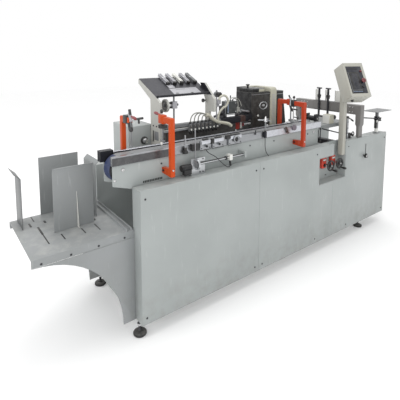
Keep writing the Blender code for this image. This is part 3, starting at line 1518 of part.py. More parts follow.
def build_pendant():
    place = pendant_matrix()
    half_w = PENDANT_WIDTH / 2
    half_h = PENDANT_HEIGHT / 2
    housing = block("pendant_box", (-half_w, 0.0, -half_h), (half_w, PENDANT_DEPTH, half_h))
    face = block(
        "face",
        (PENDANT_FACE_U[0], -0.01, PENDANT_FACE_V[0]),
        (PENDANT_FACE_U[1], 0.002, PENDANT_FACE_V[1]),
    )
    housing = cut(housing, face)
    housing.data.transform(place)
    adopt(housing, TABLE_GREY)
    screen = block("pendant_screen", (-0.062, -0.003, -0.103), (0.026, 0.002 - GAP, 0.060))
    screen.data.transform(place)
    adopt(screen, SCREEN)
    stop = turned(
        "emergency_stop",
        [
            (0.0, 0.024),
            (0.016, 0.022),
            (0.018, 0.016),
            (0.018, 0.012),
            (0.009, 0.010),
            (0.009, 0.0),
            (0.0, 0.0),
        ],
        (0, 0, 0), (0, 0, 1), 16,
    )
    seat = Matrix.Translation((PENDANT_STOP[0], 0.002 - GAP, PENDANT_STOP[1]))
    stop.data.transform(place @ seat @ Matrix.Rotation(math.pi / 2, 4, "X"))
    adopt(stop, STOP_RED)
    post_right = RECESS_RIGHT - GAP
    post = block(
        "pendant_post",
        (post_right - PENDANT_POST, PENDANT_POST_Y, PENDANT_POST_LOW),
        (post_right, PENDANT_POST_Y + PENDANT_POST, 1.5),
    )
    trim = block("trim", (-1, -1, -1), (1, PENDANT_DEPTH + GAP, 1))
    trim.data.transform(place)
    post = cut(post, trim)
    adopt(post, TABLE_GREY)


def build_stand():
    post_half = 0.010
    low_z = CABINET_TOP + GAP
    stand = block(
        "plate_stand",
        (STAND_X - post_half, STAND_Y - post_half, low_z),
        (STAND_X + post_half, STAND_Y + post_half, STAND_PLATE_Z),
    )
    plate = block(
        "plate",
        (STAND_X - STAND_PLATE[0] / 2, STAND_Y - STAND_PLATE[1] / 2, STAND_PLATE_Z - STAND_PLATE[2]),
        (STAND_X + STAND_PLATE[0] / 2, STAND_Y + STAND_PLATE[1] / 2, STAND_PLATE_Z),
    )
    foot = block(
        "foot", (STAND_X - 0.02, STAND_Y - 0.02, low_z), (STAND_X + 0.02, STAND_Y + 0.02, low_z + 0.008)
    )
    clamp = block(
        "clamp",
        (STAND_X - 0.016, STAND_Y - 0.016, STAND_LINK_Z[1] - 0.018),
        (STAND_X + 0.016, STAND_Y + 0.016, STAND_LINK_Z[1] + 0.018),
    )
    link = rod(
        "link",
        (GANTRY_X[1] + 0.001, STAND_Y - 0.006, STAND_LINK_Z[0]),
        (STAND_X, STAND_Y, STAND_LINK_Z[1]),
        STAND_LINK_RADIUS,
    )
    stand = fuse(stand, plate, foot, clamp, link)
    adopt(stand, TABLE_GREY)


def main():
    build_front_panels()
    build_side_frames()
    build_recess()
    build_end_walls()
    build_cross_beams()
    build_feet()
    build_controls()
    build_table()
    build_arches()
    build_guide_plates()
    build_conveyor()
    build_cross_shaft()
    build_belt()
    build_brackets()
    build_carrier()
    build_tubes()
    build_rack()
    build_disc_and_sensor()
    build_glue_unit()
    build_applicator()
    build_electric_box()
    build_gantry()
    build_press_unit()
    build_exit_bed()
    build_height_knob()
    build_pendant()
    build_stand()


main()
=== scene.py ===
"""Carton laminating machine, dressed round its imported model: finishes, fasteners and fine detail."""

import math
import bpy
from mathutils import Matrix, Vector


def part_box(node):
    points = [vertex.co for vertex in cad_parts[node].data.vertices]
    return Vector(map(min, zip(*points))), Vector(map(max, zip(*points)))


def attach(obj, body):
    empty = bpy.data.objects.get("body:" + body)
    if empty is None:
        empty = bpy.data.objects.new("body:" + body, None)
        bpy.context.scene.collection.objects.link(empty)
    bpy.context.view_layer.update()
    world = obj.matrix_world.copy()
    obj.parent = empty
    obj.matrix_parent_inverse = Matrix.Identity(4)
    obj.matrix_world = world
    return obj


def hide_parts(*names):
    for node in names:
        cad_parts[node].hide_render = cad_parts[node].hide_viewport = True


bl_info = {
    "name": "Carton Laminating Machine",
    "version": (1, 0, 0),
    "blender": (4, 5, 0),
    "location": "View3D > Sidebar > Laminator",
    "description": "Builds the finishes and fine detail of a carton laminating machine",
    "category": "Object",
}

import bmesh
import bpy
import numpy as np
from bpy.props import FloatProperty, FloatVectorProperty, IntProperty, PointerProperty
from mathutils import Matrix, Vector

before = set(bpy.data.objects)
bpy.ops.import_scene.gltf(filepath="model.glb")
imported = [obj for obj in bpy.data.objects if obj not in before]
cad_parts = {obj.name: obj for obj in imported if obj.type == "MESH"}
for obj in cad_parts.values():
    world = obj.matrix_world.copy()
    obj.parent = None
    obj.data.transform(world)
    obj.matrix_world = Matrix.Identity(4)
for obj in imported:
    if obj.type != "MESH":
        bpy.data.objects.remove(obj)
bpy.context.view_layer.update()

# The drawing's zero is the cabinet's front left corner on the floor; the frame's is the front left foot
DATUM = np.array((-0.015, -0.058, 0.0))
MACHINE = "machine"
SHARP = math.radians(38)
# Directions: towards the operator, away from the operator, towards the infeed and towards the delivery
OUT, BACK, LEFT, RIGHT = (0, -1, 0), (0, 1, 0), (-1, 0, 0), (1, 0, 0)
# Turns a shape drawn in x and y, with its depth along z, to y and z, with its depth along x
FACING_SIDE = Matrix(((0, 0, 1, 0), (1, 0, 0, 0), (0, 1, 0, 0), (0, 0, 0, 1)))


def ink(red, green, blue):
    """A colour given from 0 to 255, made linear: a straight line when dark, else a power of 2.4."""
    part = np.array((red, green, blue)) / 255
    line = np.where(part <= 0.04045, part / 12.92, ((part + 0.055) / 1.055) ** 2.4)
    return (*line.tolist(), 1.0)


def colour(label, note, red, green, blue):
    """A colour setting with its default given from 0 to 255."""
    return FloatVectorProperty(
        name=label, description=note, default=ink(red, green, blue)[:3], subtype="COLOR", size=3,
        min=0, max=1,
    )


def length(label, note, size):
    """A length setting in metres."""
    return FloatProperty(
        name=label, description=note, default=size, unit="LENGTH", subtype="DISTANCE", precision=4
    )


class LaminatorColours(bpy.types.PropertyGroup):
    """Colours of the machine's finishes."""

    cabinet: colour("Cabinet", "Powder coat of the cabinet panels", 156, 161, 160)
    cabinet_tone: colour("Cabinet tone", "Second tone that the cabinet's coat drifts to", 150, 155, 154)
    table: colour("Table", "Coat of the blank table and its arches", 141, 144, 145)
    table_tone: colour("Table tone", "Second tone of the table's coat", 134, 137, 137)
    casing: colour("Casing", "Coat of the glue unit's casing", 176, 174, 158)
    pendant: colour("Pendant", "Coat of the pendant and its post", 166, 165, 156)
    rack: colour("Rack", "Coat of the tool rack's cheek and column", 174, 174, 168)
    gantry: colour("Gantry", "Coat of the gantry at the delivery", 112, 110, 108)
    bracket_left: colour("Left brackets", "Coat of the two brackets at the infeed", 188, 70, 20)
    bracket_right: colour("Right brackets", "Coat of the two brackets at the delivery", 168, 60, 34)
    tank: colour("Tank", "Enamel of the glue tank", 16, 16, 18)
    tank_face: colour("Tank face", "Enamel of the tank's front cover", 44, 42, 40)
    belt: colour("Belt", "Blue of the conveyor belt", 20, 38, 78)
    counter: colour("Counter", "Plastic of the position counters", 196, 52, 28)
    stop: colour("Stop", "Plastic of the emergency stop", 96, 14, 24)
    grip: colour("Grip", "Plastic of the clamp grips", 120, 22, 30)
    soil: colour("Soil", "Dust and glue haze low on the sheets", 120, 114, 104)


class LaminatorSizes(bpy.types.PropertyGroup):
    """Sizes of the fine pieces."""

    screw: length("Screw", "Radius of a panel screw's head", 0.0055)
    screw_height: length("Screw height", "Height of a panel screw's head", 0.0022)
    corner: length("Corner", "Rounding of the folded sheets", 0.0016)
    tube: length("Air tube", "Radius of a thin air tube", 0.0038)
    hose: length("Hose", "Radius of the ribbed hose", 0.0115)
    rib: length("Rib pitch", "Distance between the hose's ribs", 0.0055)
    bars: IntProperty(name="Bars", description="Profiles on the tool rack", default=5, min=1, max=8)


class Wiring:
    """Places nodes in one tree and joins them; an input is given as a value or as another node's socket."""

    def __init__(self, tree):
        self.tree = tree

    def put(self, kind, inputs=None, **settings):
        node = self.tree.nodes.new(kind)
        for key, value in settings.items():
            setattr(node, key, value)
        for key, value in (inputs or {}).items():
            if isinstance(value, bpy.types.NodeSocket):
                self.tree.links.new(value, node.inputs[key])
            else:
                node.inputs[key].default_value = value
        return node

    def maths(self, operation, a, b=0.5, clamp=False):
        return self.put("ShaderNodeMath", {0: a, 1: b}, operation=operation, use_clamp=clamp).outputs[0]

    def vector(self, operation, a, b):
        return self.put("ShaderNodeVectorMath", {0: a, 1: b}, operation=operation).outputs[0]

    def noise(self, place, scale, detail=2.0, rough=0.5):
        inputs = {"Vector": place, "Scale": scale, "Detail": detail, "Roughness": rough}
        return self.put("ShaderNodeTexNoise", inputs).outputs["Fac"]

    def span(self, value, low, high, to_low=0.0, to_high=1.0):
        inputs = {"Value": value, "From Min": low, "From Max": high, "To Min": to_low, "To Max": to_high}
        return self.put("ShaderNodeMapRange", inputs).outputs[0]

    def mix(self, share, a, b):
        return self.put("ShaderNodeMix", {0: share, 6: a, 7: b}, data_type="RGBA").outputs[2]

    def mix_value(self, share, a, b):
        return self.put("ShaderNodeMix", {0: share, 2: a, 3: b}, data_type="FLOAT").outputs[0]


def new_group(label, inputs, outputs):
    """An empty shader node group with the named sockets, its wiring, and its two end nodes."""
    tree = bpy.data.node_groups.new(label, "ShaderNodeTree")
    for name, kind, default in inputs:
        socket = tree.interface.new_socket(name=name, in_out="INPUT", socket_type=kind)
        if default is not None:
            socket.default_value = default
    for name, kind in outputs:
        tree.interface.new_socket(name=name, in_out="OUTPUT", socket_type=kind)
    wires = Wiring(tree)
    return tree, wires, wires.put("NodeGroupInput").outputs, wires.put("NodeGroupOutput").inputs


SURFACE = (("Color", "NodeSocketColor"), ("Roughness", "NodeSocketFloat"), ("Height", "NodeSocketFloat"))


def powder_coat_group():
    """Sprayed sheet metal: orange peel, slow drift of tone, soil near the floor, dust on top, scuffs."""
    tree, wires, given, out = new_group(
        "Powder coat",
        (
            ("Place", "NodeSocketVector", None),
            ("Coat", "NodeSocketColor", (0.5, 0.5, 0.5, 1)),
            ("Tone", "NodeSocketColor", (0.4, 0.4, 0.4, 1)),
            ("Soil", "NodeSocketColor", (0.3, 0.3, 0.3, 1)),
            ("Soiling", "NodeSocketFloat", 0.3),
            ("Gloss", "NodeSocketFloat", 0.45),
        ),
        SURFACE,
    )
    place = given["Place"]
    drift = wires.span(wires.noise(place, 2.6, 4.0), 0.38, 0.62)
    cover = wires.mix(drift, given["Coat"], given["Tone"])
    height = wires.put("ShaderNodeSeparateXYZ", {0: place}).outputs[2]
    low = wires.span(height, 0.34, 0.06)
    cloud = wires.span(wires.noise(place, 17.0, 5.0, 0.62), 0.42, 0.68)
    soiling = wires.maths("MULTIPLY", wires.maths("MULTIPLY", low, cloud), given["Soiling"])
    cover = wires.mix(soiling, cover, given["Soil"])
    streaks = wires.noise(wires.vector("MULTIPLY", place, (60.0, 60.0, 7.0)), 1.0, 3.0, 0.6)
    rubbed = wires.maths("MULTIPLY", wires.span(streaks, 0.62, 0.74), 0.1)
    cover = wires.mix(rubbed, cover, (0.86, 0.87, 0.86, 1))
    normal = wires.put("ShaderNodeNewGeometry").outputs["Normal"]
    upward = wires.put("ShaderNodeSeparateXYZ", {0: normal}).outputs[2]
    dust = wires.maths("MULTIPLY", wires.span(upward, 0.75, 0.98), wires.span(cloud, 0.1, 1.0, 0.03, 0.16))
    cover = wires.mix(dust, cover, (0.74, 0.72, 0.67, 1))
    wires.tree.links.new(cover, out["Color"])
    rough = wires.maths("ADD", given["Gloss"], wires.maths("MULTIPLY", drift, 0.06))
    rough = wires.maths("ADD", rough, wires.maths("MULTIPLY", soiling, 0.6), clamp=True)
    wires.tree.links.new(rough, out["Roughness"])
    peel = wires.maths("MULTIPLY", wires.noise(place, 420.0, 2.0, 0.45), 0.6)
    wires.tree.links.new(wires.maths("ADD", peel, wires.maths("MULTIPLY", drift, 0.4)), out["Height"])
    return tree


def brushed_group():
    """Drawn or brushed metal: strokes along one axis, faint stains and worn bright spots."""
    tree, wires, given, out = new_group(
        "Brushed metal",
        (
            ("Place", "NodeSocketVector", None),
            ("Metal", "NodeSocketColor", (0.7, 0.7, 0.7, 1)),
            ("Stroke", "NodeSocketVector", (4.0, 500.0, 500.0)),
            ("Gloss", "NodeSocketFloat", 0.3),
        ),
        SURFACE,
    )
    place = given["Place"]
    strokes = wires.noise(wires.vector("MULTIPLY", place, given["Stroke"]), 1.0, 3.0, 0.55)
    stains = wires.span(wires.noise(place, 31.0, 4.0, 0.6), 0.4, 0.66)
    dark = wires.mix(1.0, given["Metal"], (0.5, 0.5, 0.5, 1))
    dark_node = dark.node
    dark_node.blend_type = "MULTIPLY"
    cover = wires.mix(wires.span(strokes, 0.32, 0.68, 0.28, 0.0), given["Metal"], dark)
    cover = wires.mix(wires.maths("MULTIPLY", stains, 0.16), cover, dark)
    wires.tree.links.new(cover, out["Color"])
    rough = wires.maths("ADD", given["Gloss"], wires.span(strokes, 0.3, 0.7, -0.05, 0.08))
    rough = wires.maths("ADD", rough, wires.maths("MULTIPLY", stains, 0.08), clamp=True)
    wires.tree.links.new(rough, out["Roughness"])
    wires.tree.links.new(strokes, out["Height"])
    return tree


def moulded_group():
    """Moulded plastic, rubber or enamel: fine grain, handling shine and a film of dust on top."""
    tree, wires, given, out = new_group(
        "Moulded",
        (
            ("Place", "NodeSocketVector", None),
            ("Body", "NodeSocketColor", (0.05, 0.05, 0.05, 1)),
            ("Grain", "NodeSocketFloat", 900.0),
            ("Gloss", "NodeSocketFloat", 0.4),
            ("Dust", "NodeSocketFloat", 0.1),
        ),
        SURFACE,
    )
    place = given["Place"]
    cloud = wires.span(wires.noise(place, 38.0, 4.0, 0.6), 0.38, 0.66)
    lighter = wires.mix(0.1, given["Body"], (0.55, 0.54, 0.52, 1))
    cover = wires.mix(wires.maths("MULTIPLY", cloud, 0.5), given["Body"], lighter)
    normal = wires.put("ShaderNodeNewGeometry").outputs["Normal"]
    upward = wires.put("ShaderNodeSeparateXYZ", {0: normal}).outputs[2]
    film = wires.maths("MULTIPLY", wires.span(upward, 0.5, 1.0), given["Dust"])
    film = wires.maths("MULTIPLY", film, wires.span(cloud, 0.0, 1.0, 0.4, 1.0))
    cover = wires.mix(film, cover, (0.62, 0.6, 0.56, 1))
    wires.tree.links.new(cover, out["Color"])
    rough = wires.maths("ADD", given["Gloss"], wires.maths("MULTIPLY", cloud, 0.12))
    rough = wires.maths("ADD", rough, wires.maths("MULTIPLY", film, 0.5), clamp=True)
    wires.tree.links.new(rough, out["Roughness"])
    wires.tree.links.new(wires.noise(place, given["Grain"], 1.0), out["Height"])
    return tree


def box_mask_group():
    """1 inside the box from Low to High, else 0: the least distance to its six sides is above zero."""
    tree, wires, given, out = new_group(
        "Box mask",
        (
            ("Place", "NodeSocketVector", None),
            ("Low", "NodeSocketVector", (0, 0, 0)),
            ("High", "NodeSocketVector", (1, 1, 1)),
        ),
        (("Mask", "NodeSocketFloat"),),
    )
    above = wires.vector("SUBTRACT", given["Place"], given["Low"])
    below = wires.vector("SUBTRACT", given["High"], given["Place"])
    least = wires.put("ShaderNodeSeparateXYZ", {0: wires.vector("MINIMUM", above, below)}).outputs
    inner = wires.maths("MINIMUM", wires.maths("MINIMUM", least[0], least[1]), least[2])
    wires.tree.links.new(wires.maths("GREATER_THAN", inner, 0.0), out["Mask"])
    return tree


GROUPS = {}


def group(label):
    """The shared node group of that name, built the first time that it is asked for."""
    makers = {
        "coat": powder_coat_group,
        "brushed": brushed_group,
        "moulded": moulded_group,
        "box": box_mask_group,
    }
    if label not in GROUPS:
        GROUPS[label] = makers[label]()
    return GROUPS[label]


def looks():
    """Each finish by name: its group, the group's values, metal share, bump, coat and specular level."""
    c = bpy.context.scene.laminator_colours

    def coat(paint, tone=None, gloss=0.42, soiling=0.3, gleam=0.5):
        values = {
            "Coat": (*paint, 1),
            "Tone": (*(tone or [0.94 * part for part in paint]), 1),
            "Soil": (*c.soil, 1),
            "Soiling": soiling,
            "Gloss": gloss,
        }
        return ("coat", values, 0.0, 0.1, 0.0, gleam)

    def metal(red, green, blue, stroke=(4.0, 500.0, 500.0), gloss=0.3, metallic=1.0):
        values = {"Metal": ink(red, green, blue), "Stroke": stroke, "Gloss": gloss}
        return ("brushed", values, metallic, 0.06, 0.0, 0.5)

    def moulded(body, grain=900.0, gloss=0.4, dust=0.1, shine=0.0, gleam=0.5):
        values = {"Body": (*body[:3], 1), "Grain": grain, "Gloss": gloss, "Dust": dust}
        return ("moulded", values, 0.0, 0.08, shine, gleam)

    return {
        "cabinet": coat(c.cabinet, c.cabinet_tone),
        "table": coat(c.table, c.table_tone, 0.4, 0.2),
        # Painted shade: a darker copy of the table's coat, for the left guide plate, which stands in shade
        "shade": coat([0.46 * part for part in c.table], None, 0.4, 0.1),
        "casing": coat(c.casing, None, 0.38, 0.0),
        "pendant": coat(c.pendant, None, 0.4, 0.0),
        "frame": coat(c.rack, None, 0.42, 0.0),
        "gantry": coat(c.gantry, None, 0.42, 0.0),
        "bracket_left": coat(c.bracket_left, None, 0.34, 0.0, 0.2),
        "bracket_right": coat(c.bracket_right, None, 0.34, 0.0, 0.2),
        "tank": moulded(c.tank, 300.0, 0.34, 0.03, 0.0, 0.25),
        "tank_face": moulded(c.tank_face, 300.0, 0.34, 0.03, 0.0, 0.35),
        "belt": moulded(c.belt, 700.0, 0.55, 0.12),
        "counter": moulded(c.counter, 900.0, 0.28, 0.03, 0.4),
        "grip": moulded(c.grip, 900.0, 0.3, 0.04, 0.3),
        "stop": moulded(c.stop, 900.0, 0.25, 0.03, 0.4),
        "coil": moulded(ink(158, 46, 34), 700.0, 0.4, 0.05),
        "ash": moulded(ink(74, 72, 70), 900.0, 0.4, 0.02),
        "brown": moulded(ink(58, 34, 28), 900.0, 0.35, 0.03),
        "mauve": moulded(ink(104, 94, 104), 900.0, 0.35, 0.05),
        "grey": moulded(ink(112, 114, 116), 900.0, 0.4, 0.08),
        "slate": moulded(ink(46, 52, 52), 600.0, 0.3, 0.04),
        "belt_top": moulded(ink(116, 118, 120), 700.0, 0.4, 0.04),
        "gloss": moulded(ink(62, 62, 64), 200.0, 0.16, 0.0, 0.2),
        "black": moulded(ink(20, 20, 21), 900.0, 0.36, 0.06),
        "rubber": moulded(ink(24, 24, 24), 600.0, 0.6, 0.14),
        "navy": moulded(ink(22, 26, 38), 900.0, 0.3, 0.02),
        "glass": moulded(ink(24, 26, 36), 20.0, 0.14, 0.0, 0.2),
        "white": moulded(ink(212, 212, 207), 900.0, 0.35, 0.04),
        "hose": moulded(ink(176, 174, 160), 500.0, 0.42, 0.1),
        "air": moulded(ink(146, 147, 140), 500.0, 0.28, 0.02, 0.2),
        "key": moulded(ink(120, 136, 160), 900.0, 0.4, 0.02),
        "rail": metal(160, 162, 165, (3.0, 600.0, 600.0), 0.3),
        # Brighter rail metal: a painted highlight on the rails' lit faces, and the brighter metal of the
        # guide jaws
        "rail_bright": metal(204, 206, 212, (3.0, 600.0, 600.0), 0.26),
        "bar": moulded(ink(158, 158, 163), 500.0, 0.35, 0.03),
        "bright": metal(214, 214, 214, (80.0, 80.0, 80.0), 0.2),
        "plate": metal(196, 198, 200, (500.0, 500.0, 6.0), 0.34),
        "steel": metal(70, 70, 73, (60.0, 60.0, 300.0), 0.38, 0.8),
        "tray": metal(62, 62, 67, (10.0, 500.0, 500.0), 0.3, 0.7),
        "blued": metal(44, 45, 50, (200.0, 200.0, 200.0), 0.34, 0.6),
    }


LOOKS = {}
MATERIALS = {}


def surface_of(wires, place, look):
    """The colour, roughness and height sockets of one finish with its metal share, and its fixed levels."""
    label, values, metallic, bump, shine, gleam = LOOKS[look]
    node = wires.put("ShaderNodeGroup", node_tree=group(label))
    wires.tree.links.new(place, node.inputs["Place"])
    for key, value in values.items():
        node.inputs[key].default_value = value
    sockets = [node.outputs["Color"], node.outputs["Roughness"], node.outputs["Height"], metallic]
    return sockets, (bump, shine, gleam)


def finish(look, regions=()):
    """A material of one finish; regions are (low corner, high corner, other finish) in metres."""
    key = (look, tuple(regions))
    if key in MATERIALS:
        return MATERIALS[key]
    material = bpy.data.materials.new(f"{look}_finish")
    material.use_nodes = True
    material.node_tree.nodes.clear()
    wires = Wiring(material.node_tree)
    place = wires.put("ShaderNodeTexCoord").outputs["Object"]
    mixed, (bump, shine, gleam) = surface_of(wires, place, look)
    for low, high, other in regions:
        corners = {"Low": tuple(np.array(low) + DATUM), "High": tuple(np.array(high) + DATUM)}
        mask_node = wires.put("ShaderNodeGroup", node_tree=group("box"))
        wires.tree.links.new(place, mask_node.inputs["Place"])
        for name, corner in corners.items():
            mask_node.inputs[name].default_value = corner
        mask = mask_node.outputs["Mask"]
        added = surface_of(wires, place, other)[0]
        mixed[0] = wires.mix(mask, mixed[0], added[0])
        for index in (1, 2, 3):
            mixed[index] = wires.mix_value(mask, mixed[index], added[index])
    relief = wires.put("ShaderNodeBump", {"Height": mixed[2], "Strength": bump, "Distance": 0.002})
    shader = wires.put(
        "ShaderNodeBsdfPrincipled",
        {"Base Color": mixed[0], "Roughness": mixed[1], "Metallic": mixed[3], "Normal": relief.outputs[0]},
    )
    shader.inputs["Coat Weight"].default_value = shine
    shader.inputs["Coat Roughness"].default_value = 0.12
    shader.inputs["Specular IOR Level"].default_value = gleam
    wires.put("ShaderNodeOutputMaterial", {"Surface": shader.outputs[0]})
    MATERIALS[key] = material
    return material


# Shapes: each is (points, faces), points an N by 3 array and faces lists of point numbers


def quads(rows, columns, closed_rows=False, closed_columns=True):
    """Faces of a grid of points, row by row; a closed side joins its last line to its first."""
    i = np.arange(rows if closed_rows else rows - 1)[:, None]
    j = np.arange(columns if closed_columns else columns - 1)[None, :]
    down, right = (i + 1) % rows, (j + 1) % columns
    corners = [i * columns + j, i * columns + right, down * columns + right, down * columns + j]
    return np.stack([np.broadcast_to(c, (i.size, j.size)) for c in corners], -1).reshape(-1, 4).tolist()


def turned(profile, sides=28):
    """A profile of (radius, height) rows turned round z: x = r cos t, y = r sin t, z = h, with flat ends."""
    rows = np.array(profile, float)
    turn = np.linspace(0, 2 * np.pi, sides, endpoint=False)
    radius, height = rows[:, :1], rows[:, 1:]
    points = np.stack(
        [radius * np.cos(turn), radius * np.sin(turn), np.broadcast_to(height, (len(rows), sides))], -1
    )
    faces = quads(len(rows), sides)
    last = (len(rows) - 1) * sides
    faces.append(list(range(sides))[::-1])
    faces.append(list(range(last, last + sides)))
    return points.reshape(-1, 3), faces


def torus(ring, wire, sides=40, around=14):
    """A ring of wire: x = (R + w cos s) cos t, y = (R + w cos s) sin t, z = w sin s."""
    turn = np.linspace(0, 2 * np.pi, sides, endpoint=False)[:, None]
    roll = np.linspace(0, 2 * np.pi, around, endpoint=False)[None, :]
    reach = ring + wire * np.cos(roll)
    points = np.stack([reach * np.cos(turn), reach * np.sin(turn), wire * np.sin(roll) + 0 * turn], -1)
    return points.reshape(-1, 3), quads(sides, around, True, True)


def tube(path, radius, sides=12, up=(0, 0, 1)):
    """A circle carried along a path: p + r (cos t side + sin t other), side being the path's cross up."""
    line = np.array(path, float)
    along = np.gradient(line, axis=0)
    along /= np.linalg.norm(along, axis=1)[:, None]
    side = np.cross(along, np.array(up, float))
    side /= np.linalg.norm(side, axis=1)[:, None]
    other = np.cross(side, along)
    turn = np.linspace(0, 2 * np.pi, sides, endpoint=False)
    reach = np.broadcast_to(np.asarray(radius, float), (len(line),))[:, None, None]
    round_ = side[:, None] * np.cos(turn)[None, :, None] + other[:, None] * np.sin(turn)[None, :, None]
    points = line[:, None] + reach * round_
    faces = quads(len(line), sides)
    last = (len(line) - 1) * sides
    faces.append(list(range(sides))[::-1])
    faces.append(list(range(last, last + sides)))
    return points.reshape(-1, 3), faces


def bar(start, end, radius, sides=14):
    """A straight round bar from start to end."""
    direction = np.subtract(end, start)
    up = (0, 0, 1) if abs(direction[2]) < 0.8 * np.linalg.norm(direction) else (0, 1, 0)
    return tube(np.linspace(start, end, 2), radius, sides, up)


def slab(outline, depth):
    """A flat outline in x and y carried along z by depth."""
    flat = np.array(outline, float)
    count = len(flat)
    points = np.concatenate([np.c_[flat, np.zeros(count)], np.c_[flat, np.full(count, depth)]])
    faces = quads(2, count)
    faces.append(list(range(count))[::-1])
    faces.append(list(range(count, 2 * count)))
    return points, faces


def soft_block(low, high, round_=0.002, steps=3):
    """A block with round edges: centre + sign (half - r) + r times the unit sphere, an eighth a corner."""
    low, high = np.array(low, float), np.array(high, float)
    centre, half = (low + high) / 2, (high - low) / 2
    r = min(round_, half.min() * 0.98)
    quarter = np.linspace(0, np.pi / 2, steps)
    turn = np.concatenate([quarter + k * np.pi / 2 for k in range(4)])
    sign_x = np.repeat([1, -1, -1, 1], steps)
    sign_y = np.repeat([1, 1, -1, -1], steps)
    tilt = np.concatenate([quarter - np.pi / 2, quarter])
    sign_z = np.repeat([-1, 1], steps)
    inner = half - r
    x = sign_x[None] * inner[0] + r * np.cos(tilt)[:, None] * np.cos(turn)[None]
    y = sign_y[None] * inner[1] + r * np.cos(tilt)[:, None] * np.sin(turn)[None]
    z = (sign_z * inner[2] + r * np.sin(tilt))[:, None] + 0 * x
    faces = quads(2 * steps, 4 * steps)
    last = (2 * steps - 1) * 4 * steps
    faces.append(list(range(4 * steps))[::-1])
    faces.append(list(range(last, last + 4 * steps)))
    return np.stack([x, y, z], -1).reshape(-1, 3) + centre, faces


def moved(shape, place):
    """A shape put through a 4 by 4 matrix, or shifted by three numbers."""
    points, faces = shape
    if len(place) == 3:
        return points + np.array(place, float), faces
    matrix = np.array(place, float)
    return points @ matrix[:3, :3].T + matrix[:3, 3], faces


def aimed(shape, start, towards):
    """A shape drawn round z, turned so that z points towards a direction, and put at start."""
    turn = Vector(towards).to_track_quat("Z", "Y").to_matrix().to_4x4()
    return moved(shape, Matrix.Translation(start) @ turn)


def scattered(shape, places):
    """Copies of a shape, one at each place: every place added to every point."""
    points, faces = shape
    places = np.array(places, float)
    all_points = (points[None] + places[:, None]).reshape(-1, 3)
    count = len(points)
    return all_points, [[n + k * count for n in face] for k in range(len(places)) for face in faces]


def smooth_path(points, steps=8):
    """A Catmull-Rom curve through the points: each span is a cubic of the four points round it."""
    p = np.array(points, float)
    p = np.concatenate([2 * p[:1] - p[1:2], p, 2 * p[-1:] - p[-2:-1]])
    t = np.linspace(0, 1, steps, endpoint=False)[None, :, None]
    a, b, c, d = (p[k : len(p) - 3 + k, None] for k in range(4))
    span = 0.5 * (2 * b + (c - a) * t + (2 * a - 5 * b + 4 * c - d) * t**2 + (3 * b - a - 3 * c + d) * t**3)
    return np.concatenate([span.reshape(-1, 3), p[-2:-1]])


def evenly(path, pitch):
    """The same path with its points a pitch apart, by its running length."""
    line = np.array(path, float)
    run = np.concatenate([[0], np.cumsum(np.linalg.norm(np.diff(line, axis=0), axis=1))])
    count = max(2, int(round(run[-1] / pitch)) + 1)
    at = np.linspace(0, run[-1], count)
    return np.stack([np.interp(at, run, line[:, k]) for k in range(3)], -1), at


def piece(name, parts, body=MACHINE, stands_for=(), bevel=0.0, sharp=SHARP):
    """One mesh object of (shape, finish) parts in the drawing's metres, riding on a body."""
    names = list(dict.fromkeys(look for _, look in parts))
    points, faces, numbers, start = [], [], [], 0
    for (shape_points, shape_faces), look in parts:
        points.append(shape_points)
        faces += [[n + start for n in face] for face in shape_faces]
        numbers += [names.index(look)] * len(shape_faces)
        start += len(shape_points)
    mesh = bpy.data.meshes.new(name)
    mesh.from_pydata((np.concatenate(points) + DATUM).tolist(), [], faces)
    mesh.polygons.foreach_set("material_index", numbers)
    shell = bmesh.new()
    shell.from_mesh(mesh)
    bmesh.ops.remove_doubles(shell, verts=shell.verts, dist=2e-6)
    bmesh.ops.recalc_face_normals(shell, faces=shell.faces)
    shell.to_mesh(mesh)
    shell.free()
    mesh.polygons.foreach_set("use_smooth", [True] * len(mesh.polygons))
    mesh.set_sharp_from_angle(angle=sharp)
    made = bpy.data.objects.new(name, mesh)
    bpy.context.scene.collection.objects.link(made)
    for look in names:
        mesh.materials.append(finish(look))
    if bevel:
        rounding = made.modifiers.new("Edges", "BEVEL")
        rounding.width = bevel
        rounding.segments = 2
        rounding.angle_limit = math.radians(30)
    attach(made, body)
    if stands_for:
        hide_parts(*stands_for)
    return made


def soft_edge_group():
    """Geometry nodes that shade a sheet smooth, but keep each edge sharper than the limit."""
    tree = bpy.data.node_groups.new("Soft shading", "GeometryNodeTree")
    tree.interface.new_socket(name="Geometry", in_out="INPUT", socket_type="NodeSocketGeometry")
    tree.interface.new_socket(name="Geometry", in_out="OUTPUT", socket_type="NodeSocketGeometry")
    wires = Wiring(tree)
    start = wires.put("NodeGroupInput")
    angle = wires.put("GeometryNodeInputMeshEdgeAngle").outputs["Unsigned Angle"]
    steep = wires.put("FunctionNodeCompare", {0: angle, 1: SHARP}, operation="GREATER_THAN").outputs[0]
    shade = "GeometryNodeSetShadeSmooth"
    smooth = wires.put(shade, {0: start.outputs[0], 2: True}, domain="FACE").outputs[0]
    kept = wires.put(shade, {0: smooth, 1: steep, 2: False}, domain="EDGE").outputs[0]
    wires.put("NodeGroupOutput", {0: kept})
    return tree


def dress(node, look, regions=(), edge=0.0):
    """Gives a CAD node its finish, and rounds its edges with modifiers where an edge size is given."""
    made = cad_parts[node]
    made.data.materials.clear()
    made.data.materials.append(finish(look, regions))
    weld = made.modifiers.new("Weld", "WELD")
    weld.merge_threshold = 1e-5
    if edge:
        rounding = made.modifiers.new("Edges", "BEVEL")
        rounding.width = edge
        rounding.segments = 2
        rounding.limit_method = "ANGLE"
        rounding.angle_limit = math.radians(30)
    if "Soft shading" not in bpy.data.node_groups:
        soft_edge_group()
    shading = made.modifiers.new("Shading", "NODES")
    shading.node_group = bpy.data.node_groups["Soft shading"]


